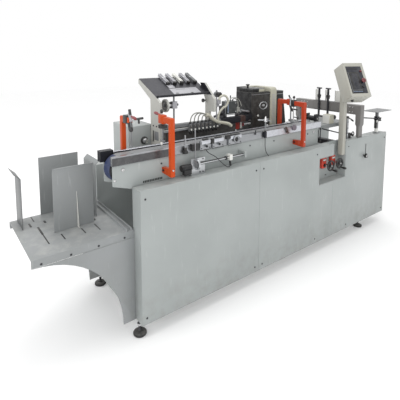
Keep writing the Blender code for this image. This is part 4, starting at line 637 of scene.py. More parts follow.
def screw_head(radius, height):
    """A button head with a socket: the profile rises over the crown and drops into the socket."""
    return turned(
        [
            (radius, 0.0),
            (radius, height * 0.35),
            (radius * 0.82, height * 0.85),
            (radius * 0.5, height),
            (radius * 0.42, height * 0.3),
            (0.0001, height * 0.3),
        ],
        14,
    )


def screws(radius, height, places, towards=OUT):
    """Screw heads of one size, all aimed one way, one at each place."""
    return scattered(aimed(screw_head(radius, height), (0, 0, 0), towards), places)


def lathe(profile, start, towards=(0, 0, 1), sides=24):
    """A profile turned round its own axis, put at start and aimed in a direction."""
    return aimed(turned(profile, sides), start, towards)


def stick(start, end, radius, sides=20, edge=0.0008):
    """A round bar with chamfered ends: the radius less the edge, the radius, and the same back."""
    span = np.subtract(end, start)
    run = float(np.linalg.norm(span))
    rim = radius - edge
    profile = [(0.0001, 0), (rim, 0), (radius, edge), (radius, run - edge), (rim, run), (0.0001, run)]
    return lathe(profile, start, span, sides)


def knob(start, end, radius, sides=24):
    """A turned handle: a narrow neck that swells to the radius at two thirds and closes in a round end."""
    span = np.subtract(end, start)
    run = float(np.linalg.norm(span))
    share = np.array([0.0, 0.06, 0.2, 0.45, 0.7, 0.88, 0.97, 1.0])
    width = np.array([0.55, 0.6, 0.62, 0.92, 1.0, 0.86, 0.5, 0.01])
    return lathe(list(zip(width * radius, share * run)), start, span, sides)


def threaded(low, high, radius, pitch=0.0012):
    """A thread drawn as rings on z: the radius drops by an eighth at every second half pitch."""
    steps = np.arange(low, high, pitch)
    radii = np.where(np.arange(len(steps)) % 2, radius, radius * 0.87)
    return turned([(0.0001, low), *zip(radii, steps), (0.0001, high)], 16)


class LAMINATOR_OT_stage(bpy.types.Operator):
    """Pale floor, soft studio lights and the camera at the photograph's angle"""

    bl_idname = "laminator.stage"
    bl_label = "Stage"

    def execute(self, context):
        scene = context.scene
        mesh = bpy.data.meshes.new("floor")
        reach, low = 14.0, -0.001
        corners = [(-reach, -reach, low), (reach, -reach, low), (reach, reach, low), (-reach, reach, low)]
        mesh.from_pydata(corners, [], [(0, 1, 2, 3)])
        floor = bpy.data.objects.new("floor", mesh)
        scene.collection.objects.link(floor)
        material = bpy.data.materials.new("floor_finish")
        material.use_nodes = True
        shader = material.node_tree.nodes["Principled BSDF"]
        shader.inputs["Base Color"].default_value = (0.985, 0.985, 0.985, 1)
        shader.inputs["Roughness"].default_value = 0.9
        mesh.materials.append(material)

        world = bpy.data.worlds.new("studio")
        world.use_nodes = True
        backing = world.node_tree.nodes["Background"]
        backing.inputs["Color"].default_value = (1.0, 1.0, 1.0, 1)
        backing.inputs["Strength"].default_value = 1.0
        scene.world = world
        scene.view_settings.view_transform = "Standard"

        lamps = (
            ("key", (-2.2, -3.4, 3.6), (0.9, 0.2, 0.5), 2.6, 62.0),
            ("top", (1.2, 0.6, 4.2), (1.2, 0.3, 0.8), 3.0, 48.0),
            ("side", (-4.0, 1.2, 2.2), (0.2, 0.3, 0.6), 2.0, 30.0),
        )
        for label, place, target, size, power in lamps:
            lamp = bpy.data.lights.new(label, "AREA")
            lamp.size = size
            lamp.energy = power
            holder = bpy.data.objects.new(label, lamp)
            holder.location = place
            holder.rotation_euler = (Vector(target) - Vector(place)).to_track_quat("-Z", "Y").to_euler()
            scene.collection.objects.link(holder)

        # Measured in the photograph, in pixels: its side, its focal length and the row of its view's middle
        side, focal, middle_row = 400, 374.1, 94.5
        view = bpy.data.cameras.new("camera")
        view.sensor_width = 36.0
        view.lens = focal / side * view.sensor_width
        view.shift_y = -(side / 2 - middle_row) / side
        view.clip_end = 100.0
        camera = bpy.data.objects.new("camera", view)
        camera.location = (-0.848, -1.667, 1.477)
        camera.rotation_euler = (math.radians(83.84), 0.0, math.radians(-36.78))
        scene.collection.objects.link(camera)
        scene.camera = camera
        return {"FINISHED"}


# Finish, edge rounding and regions of each CAD node that keeps its own shape
CABINET_NODES = (
    "front_panel_left", "front_panel_middle", "front_panel_right",
    "rear_panel_left", "rear_panel_middle", "rear_panel_right",
    "side_frame_front", "side_frame_rear", "end_panel_left", "end_panel_right", "control_recess",
    "conveyor_side_front", "conveyor_side_rear", "electric_box",
)
TABLE_NODES = (
    "blank_table", "arch_panel_front", "arch_panel_rear",
    "guide_plate_back", "guide_plate_front", "guide_plate_right",
)
REGIONS = {
    "conveyor_belt": ("belt_top", 0.0, [((-0.2, 0.0, 0.8), (1.7, 0.4, 0.9655), "belt")]),
    "glue_tank": (
        "tank", 0.0,
        [
            ((1.13, 0.37, 0.87), (1.342, 0.3875, 1.1895), "tank_face"),
            ((1.232, 0.39, 1.1905), (1.3, 0.56, 1.25), "casing"),
        ],
    ),
    "exit_bed": (
        "table", 0.0,
        [
            ((1.784, 0.14, 0.9165), (1.7864, 0.22, 0.99), "white"),
            ((1.7864, 0.14, 0.9165), (1.8495, 0.22, 0.99), "casing"),
            ((1.8495, 0.16, 0.93), (1.91, 0.21, 0.98), "black"),
            ((1.87, 0.04, 0.9655), (1.92, 0.08, 0.99), "black"),
            ((1.88, 0.05, 0.79), (1.91, 0.0705, 0.9655), "plate"),
            ((1.595, 0.14, 0.9155), (1.655, 0.26, 1.02), "steel"),
        ],
    ),
    "plate_stand": (
        "table", 0.0,
        [
            ((2.27, -0.02, 0.815), (2.33, 0.08, 0.9935), "grey"),
            ((2.04, 0.0, 0.9), (2.27, 0.05, 0.97), "steel"),
            ((2.17, -0.05, 0.9935), (2.43, 0.11, 1.0), "grey"),
        ],
    ),
    "press_unit": (
        "steel", 0.0,
        [
            ((2.005, 0.0, 1.0695), (2.05, 0.6, 1.2), "white"),
            ((1.98, 0.0, 0.99), (1.99, 0.6, 1.07), "gantry"),
        ],
    ),
    "tool_rack": (
        "tray", 0.0,
        [
            ((0.28, 0.2, 0.7), (0.2999, 0.6, 1.2125), "frame"),
            ((0.28, 0.2, 1.2125), (0.2899, 0.6, 1.4), "frame"),
            ((0.6938, 0.2, 1.0), (0.72, 0.5, 1.21), "frame"),
            ((0.6985, 0.2, 1.21), (0.72, 0.6, 1.4), "frame"),
            ((0.42, 0.34, 1.03), (0.44, 0.37, 1.226), "grey"),
        ],
    ),
    "valve_carrier": (
        "plate", 0.0,
        [
            ((0.29, 0.33, 0.7), (0.345, 0.38, 0.99), "cabinet"),
            ((0.29, 0.334, 1.016), (1.07, 0.38, 1.04), "grey"),
            ((0.29, 0.334, 1.0105), (1.07, 0.38, 1.016), "black"),
            ((0.29, 0.334, 1.0065), (1.07, 0.38, 1.0105), "white"),
            ((0.8, 0.33, 0.99), (1.07, 0.38, 1.04), "blued"),
            ((0.984, 0.33, 0.99), (1.032, 0.38, 1.04), "brown"),
            ((0.52, 0.31, 0.9838), (0.77, 0.334, 1.04), "grey"),
            ((0.52, 0.31, 0.95), (0.77, 0.334, 0.9838), "black"),
        ],
    ),
    "guide_disc": (
        "bar", 0.0,
        [
            ((0.355, 0.3, 1.11), (0.3765, 0.41, 1.21), "frame"),
            ((0.3765, 0.34, 1.13), (0.4135, 0.37, 1.19), "black"),
        ],
    ),
    "sensor_rod": ("bar", 0.0, [((0.75, 0.3, 1.184), (0.81, 0.372, 1.223), "black")]),
    "rail_front": (
        "rail", 0.0,
        [
            ((-0.2, 0.079, 0.92), (0.235, 0.0806, 0.966), "gloss"),
            # Painted highlight: the front rail's face made brighter towards the delivery
            ((0.98, 0.079, 0.92), (1.6, 0.0806, 0.9695), "rail_bright"),
            ((0.355, 0.05, 0.93), (0.415, 0.0797, 1.0), "black"),
            ((0.3, 0.05, 0.92), (0.335, 0.0797, 0.9445), "black"),
            ((0.94, 0.05, 0.92), (0.975, 0.0797, 0.97), "blued"),
            ((0.9, 0.01, 1.03), (1.01, 0.13, 1.08), "rail"),
        ],
    ),
    "rail_rear": (
        "rail", 0.0,
        [
            ((-0.14, 0.1, 0.9), (-0.059, 0.3, 1.0), "blued"),
            # Painted highlight: the rear rail's top made brighter
            ((-0.059, 0.1, 0.95), (1.6, 0.3, 1.0), "rail_bright"),
        ],
    ),
    "cross_shaft": (
        "plate", 0.0,
        [
            ((0.26, 0.0, 0.79), (0.3435, 0.1, 0.91), "black"),
            ((0.6, 0.0, 0.8), (0.64, 0.1, 0.8465), "black"),
            ((0.6, 0.0, 0.8465), (0.64, 0.1, 0.89), "white"),
            ((0.7345, 0.0, 0.84), (0.755, 0.1, 0.89), "cabinet"),
            ((0.386, 0.0, 0.8655), (0.612, 0.0465, 0.872), "black"),
            ((0.386, 0.0, 0.853), (0.612, 0.0465, 0.859), "black"),
            ((0.634, 0.0, 0.8655), (0.7345, 0.0495, 0.872), "black"),
            ((0.634, 0.0, 0.853), (0.7345, 0.0495, 0.859), "black"),
        ],
    ),
    "applicator_head": (
        "steel", 0.0,
        [
            ((0.98, 0.3, 0.927), (1.036, 0.445, 1.018), "coil"),
            ((0.885, 0.3, 1.049), (0.992, 0.445, 1.142), "slate"),
            ((1.036, 0.3, 0.993), (1.137, 0.445, 1.036), "blued"),
            ((0.992, 0.3, 1.049), (1.04, 0.445, 1.17), "air"),
        ],
    ),
    # The left guide plate takes the darker shade coat: painted shade on a plate of the table's coat
    "guide_plate_left": ("shade", 0.0008, []),
    "head_roller": ("steel", 0.0, []),
    "tail_roller": ("steel", 0.0, []),
    "gantry": ("gantry", 0.0016, []),
    "pendant_box": ("pendant", 0.0022, []),
    "pendant_post": ("pendant", 0.0022, []),
    "glue_casing": ("casing", 0.003, [((1.17, 0.545, 0.8), (1.262, 0.605, 1.25), "tank")]),
    "glue_drive": ("tank", 0.003, []),
    "height_knob": ("black", 0.0, []),
}


class LAMINATOR_OT_finishes(bpy.types.Operator):
    """Finishes of the CAD nodes that keep their own shape"""

    bl_idname = "laminator.finishes"
    bl_label = "Finishes"

    def execute(self, context):
        LOOKS.update(looks())
        edge = context.scene.laminator_sizes.corner
        for node in CABINET_NODES:
            dress(node, "cabinet", edge=edge)
        for node in TABLE_NODES:
            dress(node, "table", edge=0.0008)
        for node in ("cross_beam_1", "cross_beam_2", "cross_beam_3"):
            dress(node, "steel", edge=edge)
        for node, (look, rounding, regions) in REGIONS.items():
            dress(node, look, regions, rounding)
        return {"FINISHED"}


# Black strips over the blank table's slots, their black a painted shade inside the slots: middle, front end,
# rear end and half width
TABLE_SLOT_SHADE = (
    (-0.392, 0.182, 0.3, 0.003), (-0.392, 0.3, 0.4, 0.0052), (-0.392, 0.479, 0.556, 0.003),
    (-0.316, 0.184, 0.25, 0.003), (-0.3, 0.295, 0.33, 0.0052), (-0.213, 0.187, 0.25, 0.003),
    (-0.196, 0.29, 0.345, 0.0052), (-0.14, 0.178, 0.262, 0.003), (-0.12, 0.3, 0.345, 0.0052),
    (-0.42, 0.42, 0.47, 0.0052), (-0.345, 0.43, 0.46, 0.0052), (-0.035, 0.44, 0.48, 0.0052),
)


class LAMINATOR_OT_screws(bpy.types.Operator):
    """Screw heads on the panels, the table's skirt and the conveyor's sides"""

    bl_idname = "laminator.screws"
    bl_label = "Panel screws"

    def execute(self, context):
        sizes = context.scene.laminator_sizes
        head = screw_head(sizes.screw, sizes.screw_height)
        front = aimed(head, (0, 0, 0), OUT)
        back = aimed(head, (0, 0, 0), BACK)
        levels = (0.754, 0.115)
        places = [(x, -0.0002, z) for x in (0.028, 0.81, 0.876, 1.431, 1.833, 2.383) for z in levels]
        skirt = [(x, 0.0718, 0.549) for x in (-0.457, -0.325, -0.191, -0.055)]
        skirt_back = [(x, 0.5592, 0.549) for x in (-0.457, -0.325, -0.191, -0.055)]
        sides = [(x, 0.0898, 0.891) for x in (0.177, 0.84, 1.065, 1.43)]
        far = [(x, 0.2022, 0.891) for x in (0.177, 0.84, 1.065, 1.43)]
        heads = [(scattered(front, places + skirt + sides), "steel")]
        heads.append((scattered(back, skirt_back + far), "steel"))
        piece("panel_screws", heads)
        axles = []
        for x, z in ((-0.048, 0.898), (1.499, 0.898)):
            for y, way in ((0.0898, -1), (0.2022, 1)):
                axles.append((screws(0.0095, 0.0045, [(x, y, z)], (0, way, 0)), "bright"))
        axles.append((screws(0.007, 0.0035, [(-0.092, 0.0898, 0.849)]), "bright"))
        cut = slab([(-0.0035, -0.006), (0.0035, -0.006), (0.0035, 0.006), (-0.0035, 0.006)], 0.0006)
        row = [(x, 0.0899, 0.811) for x in np.linspace(0.068, 0.178, 12)]
        axles.append((scattered(aimed(cut, (0, 0, 0), OUT), row), "black"))
        piece("conveyor_axles", axles)
        # Painted highlight: a thin white wedge on the guide plate stands for the light caught by its fold
        fold_highlight = slab([(0, 0), (-0.026, 0), (-0.0006, 0.19)], 0.0016)
        fold_highlight = moved(moved(fold_highlight, FACING_SIDE), (-0.222, 0.2832, 0.5775))
        piece("plate_gusset", [(fold_highlight, "white")])
        # The slots' painted shade: thin black strips laid on the table top
        strips = [
            soft_block((x - half, low, 0.5757), (x + half, high, 0.5763), 0.0002)
            for x, low, high, half in TABLE_SLOT_SHADE
        ]
        piece("table_slot_strips", [(strip, "black") for strip in strips])
        return {"FINISHED"}


class LAMINATOR_OT_feet(bpy.types.Operator):
    """Levelling feet: rubber pad, swivel, threaded stem and lock nut"""

    bl_idname = "laminator.feet"
    bl_label = "Levelling feet"

    def execute(self, context):
        stem = threaded(0.024, 0.0835, 0.0079, 0.0011)
        pad = turned(
            [
                (0.0001, 0.0245), (0.0105, 0.024), (0.0135, 0.0205), (0.015, 0.0175), (0.03, 0.0142),
                (0.034, 0.0125), (0.0358, 0.0095), (0.036, 0.004), (0.0345, 0.003), (0.0345, 0.0012),
                (0.0335, 0), (0.0001, 0),
            ],
            40,
        )
        turn = np.linspace(0, 2 * np.pi, 6, endpoint=False)
        nut = slab(np.c_[0.0148 * np.cos(turn), 0.0148 * np.sin(turn)], 0.01)
        for node in ("foot_front_left", "foot_front_right", "foot_rear_left", "foot_rear_right"):
            low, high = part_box(node)
            centre = (np.array(low) + np.array(high)) / 2 - DATUM
            spot = (centre[0], centre[1], 0.0)
            parts = [
                (moved(pad, spot), "rubber"),
                (moved(stem, spot), "steel"),
                (moved(nut, (spot[0], spot[1], 0.052)), "bright"),
            ]
            piece(f"{node}_detail", parts, stands_for=(node,))
        return {"FINISHED"}


class LAMINATOR_OT_controls(bpy.types.Operator):
    """Cranked handwheels, position counters and the height knob's cap"""

    bl_idname = "laminator.controls"
    bl_label = "Handwheels and counters"

    def execute(self, context):
        hub_profile = [
            (0.0001, -0.016), (0.01, -0.016), (0.013, -0.004), (0.013, 0.004), (0.0095, 0.0098),
            (0.0001, 0.01),
        ]
        for side, x in (("left", 1.625), ("right", 1.742)):
            centre = np.array((x, 0.016, 0.632))
            parts = [
                (aimed(torus(0.036, 0.0068), centre, OUT), "black"),
                (lathe(hub_profile, centre, OUT), "black"),
            ]
            for angle in np.radians((100.0, 220.0, 340.0)):
                away = np.array((math.cos(angle), 0.0, math.sin(angle)))
                line = np.linspace(centre + 0.01 * away, centre + 0.035 * away, 6)
                parts.append((tube(line, np.linspace(0.0068, 0.0054, 6), 12, BACK), "black"))
            crank = centre + (0.008, -0.003, -0.032)
            parts.append((stick(crank, crank + (0, -0.012, 0), 0.0048), "bright"))
            parts.append((knob(crank + (0, -0.009, 0), crank + (0, -0.051, 0), 0.0098), "black"))
            cap = [(0.005, 0.0095), (0.005, 0.0108), (0.0001, 0.0112)]
            parts.append((lathe(cap, centre, OUT), "bright"))
            parts.append((bar(centre, (x, 0.0755, 0.632), 0.006, 18), "bright"))
            piece(
                f"handwheel_{side}_detail", parts, body=f"handwheel_{side}",
                stands_for=(f"handwheel_{side}",),
            )
            left, right = x - 0.06, x - 0.01
            back, front = 0.0755, 0.048
            low, high = 0.61, 0.692
            shell = soft_block((left, front, low), (right, back, high), 0.004, 4)
            window = soft_block(
                (left + 0.006, front - 0.0008, high - 0.026),
                (right - 0.006, front + 0.004, high - 0.008),
                0.001,
            )
            drums = scattered(
                soft_block((0, -0.0012, 0), (0.0062, 0.001, 0.013), 0.0006),
                [(left + 0.0085 + k * 0.0068, front - 0.0002, high - 0.0235) for k in range(5)],
            )
            ring = [(0.013, 0), (0.013, 0.004), (0.009, 0.005), (0.0062, 0.005)]
            collar = lathe(ring, (x - 0.035, front, low + 0.024), OUT, 26)
            piece(
                f"counter_{side}_detail",
                [(shell, "counter"), (window, "black"), (drums, "white"), (collar, "black")],
                stands_for=(f"counter_{side}",),
            )
        cap = [(0.008, -0.001), (0.008, 0.001), (0.006, 0.0018), (0.0001, 0.002)]
        slot = soft_block((1.64, 0.0748, 0.538), (1.658, 0.0758, 0.545), 0.0004)
        piece(
            "knob_cap", [(lathe(cap, (2.06, -0.0262, 0.645), OUT), "bright"), (slot, "black")],
        )
        return {"FINISHED"}


def bracket_outline(outer, inward, seat):
    """Outline of a C bracket in y and z: foot arm, upright and top arm."""
    inner = outer + inward * 0.025
    end = outer + inward * 0.105
    return [
        (seat, 0.84), (seat, 0.871), (inner, 0.877), (inner, 1.113), (end, 1.119), (end, 1.147),
        (outer + inward * 0.006, 1.147), (outer, 1.141), (outer, 0.835), (inner, 0.835),
    ]


# Node, left side, outer face, inward sign, seat and finish of each bracket
BRACKETS = (
    ("bracket_front_1", 0.18, -0.004, 1, 0.0897, "bracket_left"),
    ("bracket_front_2", 1.26, -0.004, 1, 0.0897, "bracket_right"),
    ("bracket_rear_1", 0.02, 0.262, -1, 0.2023, "bracket_left"),
    ("bracket_rear_2", 1.288, 0.262, -1, 0.2023, "bracket_right"),
)

# Hold-down parts in their bracket's plane: kind, y and z of the start, y and z of the end, size, finish
HOLD_DOWNS = {
    "bracket_front_1": (
        ("block", 0.074, 1.106, 0.125, 1.155, 0.013, "bracket_left"),
        ("rod", 0.0955, 1.021, 0.0955, 1.106, 0.0045, "grey"),
        ("gear", 0.0955, 1.083, 0.0955, 1.1, 0.025, "black"),
        ("rod", 0.08, 1.021, 0.08, 1.058, 0.006, "black"),
        ("knob", 0.127, 1.151, 0.186, 1.156, 0.0088, "grip"),
        ("rod", 0.107, 1.153, 0.107, 1.162, 0.005, "bright"),
        ("ball", 0.107, 1.159, 0.107, 1.183, 0.009, "black"),
        ("block", 0.082, 1.008, 0.112, 1.02, 0.008, "grey"),
        ("ball", 0.111, 0.984, 0.111, 1.004, 0.0075, "white"),
    ),
    "bracket_rear_1": (
        ("block", 0.173, 1.112, 0.217, 1.156, 0.0165, "black"),
        ("rod", 0.149, 1.126, 0.168, 1.171, 0.0085, "bar"),
        ("rod", 0.16, 1.098, 0.176, 1.15, 0.0125, "black"),
        ("rod", 0.157, 1.16, 0.167, 1.189, 0.0075, "black"),
        ("knob", 0.176, 1.12, 0.146, 1.072, 0.0125, "black"),
        ("knob", 0.145, 1.155, 0.089, 1.147, 0.0088, "grip"),
        ("rod", 0.077, 1.151, 0.023, 1.162, 0.0062, "black"),
        ("rod", 0.063, 1.155, 0.063, 1.129, 0.005, "black"),
        ("rod", 0.151, 0.996, 0.151, 1.128, 0.0036, "grey"),
        ("block", 0.144, 0.99, 0.158, 0.998, 0.007, "grey"),
    ),
    "bracket_rear_2": (
        ("block", 0.15, 1.11, 0.176, 1.155, 0.015, "bracket_right"),
        ("knob", 0.176, 1.128, 0.214, 1.13, 0.0086, "grip"),
        ("rod", 0.15, 1.107, 0.15, 1.16, 0.0095, "plate"),
        ("rod", 0.153, 1.157, 0.167, 1.181, 0.0055, "black"),
        ("knob", 0.166, 1.126, 0.13, 1.064, 0.008, "black"),
        ("rod", 0.146, 1.009, 0.146, 1.107, 0.0048, "grey"),
        ("block", 0.086, 0.993, 0.156, 1.009, 0.015, "grey"),
    ),
    "bracket_front_2": (
        ("block", 0.084, 1.106, 0.112, 1.155, 0.016, "black"),
        ("rod", 0.097, 1.155, 0.097, 1.166, 0.005, "bright"),
        ("ball", 0.097, 1.162, 0.097, 1.184, 0.009, "black"),
        ("rod", 0.065, 1.087, 0.11, 1.089, 0.005, "black"),
        ("rod", 0.047, 1.022, 0.047, 1.096, 0.0042, "grey"),
        ("rod", 0.098, 1.006, 0.098, 1.106, 0.0045, "bright"),
        ("ball", 0.059, 1.022, 0.059, 1.042, 0.0095, "black"),
        ("rod", 0.047, 1.032, 0.098, 1.032, 0.0045, "grey"),
        ("block", 0.07, 0.994, 0.112, 1.006, 0.02, "grey"),
    ),
}


def hold_down_part(kind, x, y0, z0, y1, z1, size):
    """One part of a hold-down in the plane x; a block's size is half its width, the others' a radius."""
    start, end = (x, y0, z0), (x, y1, z1)
    if kind == "block":
        return soft_block((x - size, y0, z0), (x + size, y1, z1), 0.0035)
    if kind == "gear":
        turn = np.linspace(0, 2 * np.pi, 96, endpoint=False)
        reach = size * (0.94 + 0.06 * np.cos(12 * turn))
        return moved(slab(np.c_[reach * np.cos(turn), reach * np.sin(turn)], z1 - z0), start)
    if kind == "ball":
        middle, half = (z0 + z1) / 2, (z1 - z0) / 2
        swing = np.radians(np.linspace(-89.5, 89.5, 13))
        return moved(turned(list(zip(size * np.cos(swing), middle + half * np.sin(swing)))), (x, y0, 0.0))
    return (knob if kind == "knob" else stick)(start, end, size)


class LAMINATOR_OT_brackets(bpy.types.Operator):
    """Orange C brackets, each with its own clamp, screw, levers and pressing shoe"""

    bl_idname = "laminator.brackets"
    bl_label = "Brackets"

    def execute(self, context):
        for node, left, outer, inward, seat, look in BRACKETS:
            flat = slab(bracket_outline(outer, inward, seat), 0.025)
            arm = [(moved(moved(flat, FACING_SIDE), (left, 0, 0)), look)]
            piece(f"{node}_arm", arm, stands_for=(node,), bevel=0.0018)
            x = left + 0.0125
            rows = HOLD_DOWNS[node]
            parts = [(hold_down_part(kind, x, *sizes), paint) for kind, *sizes, paint in rows]
            piece(f"{node}_hold_down", parts)
            foot = (x, outer - inward * 0.0002, 0.872)
            clamp = (left - 0.0002, seat - inward * 0.016, 0.857)
            bolts = [
                (screws(0.006, 0.004, [foot], (0, -inward, 0)), "bright"),
                (screws(0.0072, 0.0042, [clamp], LEFT), "blued"),
            ]
            piece(f"{node}_bolts", bolts)
        return {"FINISHED"}


class LAMINATOR_OT_rail_fittings(bpy.types.Operator):
    """Star nut, pins, guide plates and clamps on the front rail, and the cross shaft's details"""

    bl_idname = "laminator.rail_fittings"
    bl_label = "Rail fittings"

    def execute(self, context):
        y, x = 0.069, 0.957
        hub = [(0.0125, 1.037), (0.013, 1.041), (0.0125, 1.052), (0.005, 1.064), (0.004, 1.073)]
        star = [(lathe(hub, (x, y, 0)), "bright")]
        for angle in np.radians((23.0, 143.0, 263.0)):
            away = np.array((math.cos(angle), math.sin(angle), 0.0))
            start = np.array((x, y, 1.048))
            star.append((knob(start + 0.008 * away, start + 0.0515 * away, 0.0046, 16), "rail"))
        star.append((stick((x, y, 0.9695), (x, y, 1.037), 0.0052), "grey"))
        star.append((stick((x, y, 0.966), (x, y, 0.978), 0.0075), "black"))
        star.append((aimed(torus(0.0062, 0.0018, 24, 10), (x + 0.013, y - 0.004, 1.011), OUT), "bright"))
        piece("star_nut", star)
        strips = []
        for left, right in ((0.425, 0.5), (0.515, 0.6), (0.64, 0.745)):
            middle = (left + right) / 2
            jaw = soft_block((left + 0.004, 0.063, 0.962), (right - 0.004, 0.08, 0.9835), 0.002)
            strips += [
                (soft_block((left - 0.001, 0.0692, 0.9285), (right + 0.001, 0.0725, 0.979), 0.001), "rail"),
                (soft_block((left, 0.069, 0.925), (right, 0.074, 0.9285), 0.0008), "black"),
                (screws(0.0076, 0.005, [(middle, 0.0582, 0.949)]), "steel"),
                # The jaws take the brighter rail metal, the same finish that paints the rails' highlight
                (jaw, "rail_bright"),
                (soft_block((left + 0.016, 0.061, 0.983), (right - 0.02, 0.0775, 0.9925), 0.003), "black"),
            ]
            ends = [(left + 0.008, 0.0692, 0.937), (right - 0.008, 0.0692, 0.937)]
            strips.append((screws(0.0035, 0.002, ends), "steel"))
        strips.append((aimed(torus(0.018, 0.005, 36, 12), (0.692, 0.054, 0.96), (-0.3, -1, 0)), "rail"))
        strips.append((stick((0.692, 0.056, 0.96), (0.692, 0.064, 0.96), 0.013), "black"))
        strips.append((soft_block((0.498, 0.06, 0.955), (0.522, 0.075, 0.988), 0.004), "black"))
        strips.append((soft_block((0.612, 0.06, 0.966), (0.65, 0.076, 0.993), 0.004), "black"))
        rods = (
            ((0.319, y, 0.944), (0.319, y, 1.03), 0.004, "rail"),
            ((0.319, y, 0.944), (0.319, y, 0.96), 0.0095, "black"),
            ((0.377, 0.0545, 0.895), (0.377, 0.0545, 1.057), 0.0032, "rail"),
            ((1.162, 0.07, 0.978), (1.189, 0.07, 0.932), 0.006, "brown"),
            ((1.2575, 0.07, 0.961), (1.2575, 0.08, 0.961), 0.02, "mauve"),
            ((0.873, y + 0.006, 0.96), (0.873, y + 0.006, 0.989), 0.0042, "steel"),
        )
        strips += [(stick(start, end, radius), look) for start, end, radius, look in rods]
        piece("side_guides", strips)
        turns = np.radians((45, 135, 225, 315))
        places = [(0.3716, 0.042 + 0.024 * math.cos(a), 0.862 + 0.024 * math.sin(a)) for a in turns]
        parts = [(screws(0.0034, 0.0025, places, LEFT), "steel")]
        dish = [(0.02, 0), (0.02, 0.0018), (0.0105, 0.003), (0.0001, 0.003)]
        parts.append((lathe(dish, (0.3716, 0.042, 0.862), LEFT, 28), "grey"))
        for ring_x in np.linspace(0.284, 0.338, 8):
            parts.append((aimed(torus(0.0172, 0.0011, 26, 8), (ring_x, 0.05, 0.852), RIGHT), "blued"))
        places = [(0.426, 0.0468, 0.885), (0.426, 0.0468, 0.812), (0.405, 0.0468, 0.812)]
        parts.append((screws(0.004, 0.003, places), "steel"))
        for low, high in ((0.386, 0.396), (0.588, 0.598)):
            parts.append((stick((low, 0.042, 0.862), (high, 0.042, 0.862), 0.011), "steel"))
        piece("shaft_details", parts)
        return {"FINISHED"}


def cubic(a, b, c, d, steps):
    """Points of the cubic curve from a to d that b and c pull."""
    t = np.linspace(0, 1, steps)[:, None]
    s = 1 - t
    return s**3 * a + 3 * s**2 * t * b + 3 * s * t**2 * c + t**3 * d


class LAMINATOR_OT_hoses(bpy.types.Operator):
    """Thin air tubes that arch into the ribbed hose, the loop hose, and the valves' fittings"""

    bl_idname = "laminator.hoses"
    bl_label = "Air hoses"

    def execute(self, context):
        sizes = context.scene.laminator_sizes
        y, valve_y, valve_z = 0.3, 0.325, 1.0323
        corners = (
            (0.64, 1.083), (0.668, 1.077), (0.702, 1.048), (0.745, 1.026), (0.8, 1.012), (0.835, 1.003),
            (0.862, 0.985),
        )
        route = np.array([(x, y, z) for x, z in corners])
        line, run = evenly(smooth_path(route, 12), sizes.rib / 5)
        ribs = sizes.hose * (0.93 + 0.07 * np.cos(2 * np.pi * run / sizes.rib))
        parts = [(tube(line, ribs, 16, BACK), "hose")]
        fittings = []
        collet = [
            (0.0001, 0), (0.007, 0), (0.0076, 0.002), (0.0076, 0.01), (0.0055, 0.013), (0.0036, 0.0135)
        ]
        lower = [
            (0.0001, 0), (0.0046, 0), (0.0068, 0.003), (0.0068, 0.012), (0.0058, 0.0175),
            (0.0001, 0.0176),
        ]
        for index in range(8):
            x = 0.535 + index * 0.031
            share = index / 7
            start = np.array((x, valve_y, valve_z))
            spread = (share - 0.5) * 0.0115
            at = max(0.0, share * 1.3 - 0.3)
            end = route[0] + (route[3] - route[0]) * at + (0.012, spread, -0.002)
            reach = 0.075 * (1 - 0.75 * share)
            neck = start + (0, 0, 0.003)
            pull = neck + (0, 0, reach), end + (-reach, 0, 0.5 * reach)
            path = np.concatenate([start[None], cubic(neck, *pull, end, 26)])
            parts.append((tube(path, sizes.tube, 10, (0, 1, 0.02)), "air"))
            fittings += [
                (lathe(collet, (x, valve_y, valve_z - 0.0006), sides=16), "black"),
                (soft_block((x - 0.0088, 0.3128, 1.0015), (x + 0.0088, 0.3155, 1.027), 0.001), "ash"),
                (soft_block((x - 0.0092, 0.3126, 0.9848), (x + 0.0092, 0.3155, 0.999), 0.001), "black"),
                (screws(0.0068, 0.0036, [(x, 0.3126, 0.995)]), "white"),
                (screws(0.0026, 0.0018, [(x, 0.3128, 1.0195)]), "bright"),
                (lathe(lower, (x, valve_y, 0.9664), sides=16), "black"),
            ]
        angle = np.radians(np.linspace(160, -90, 44))
        ring = np.stack([0.79 + 0.041 * np.cos(angle), np.full(44, y), 1.16 + 0.041 * np.sin(angle)], -1)
        tail = smooth_path([ring[-2], ring[-1], (0.752, y, 1.081), route[3]], 8)
        parts.append((tube(np.concatenate([ring[:-2], tail]), 0.0074, 16, BACK), "hose"))
        cuff = [(0.0001, -0.004), (0.0135, -0.004), (0.014, 0), (0.014, 0.014), (0.0001, 0.016)]
        parts.append((lathe(cuff, route[0] + (0.002, 0, 0), (1, 0, -0.25)), "hose"))
        piece("air_hoses_detail", parts, stands_for=("air_hoses",))
        piece("valve_fittings", fittings)
        # A thin plate behind the valves fills the gap under the carrier; its dark grey is a painted shadow
        # of the beam
        back_plate = soft_block((0.3455, 0.374, 0.917), (0.972, 0.3764, 0.9935), 0.0006)
        piece("rail_guard", [(back_plate, "ash")])
        return {"FINISHED"}


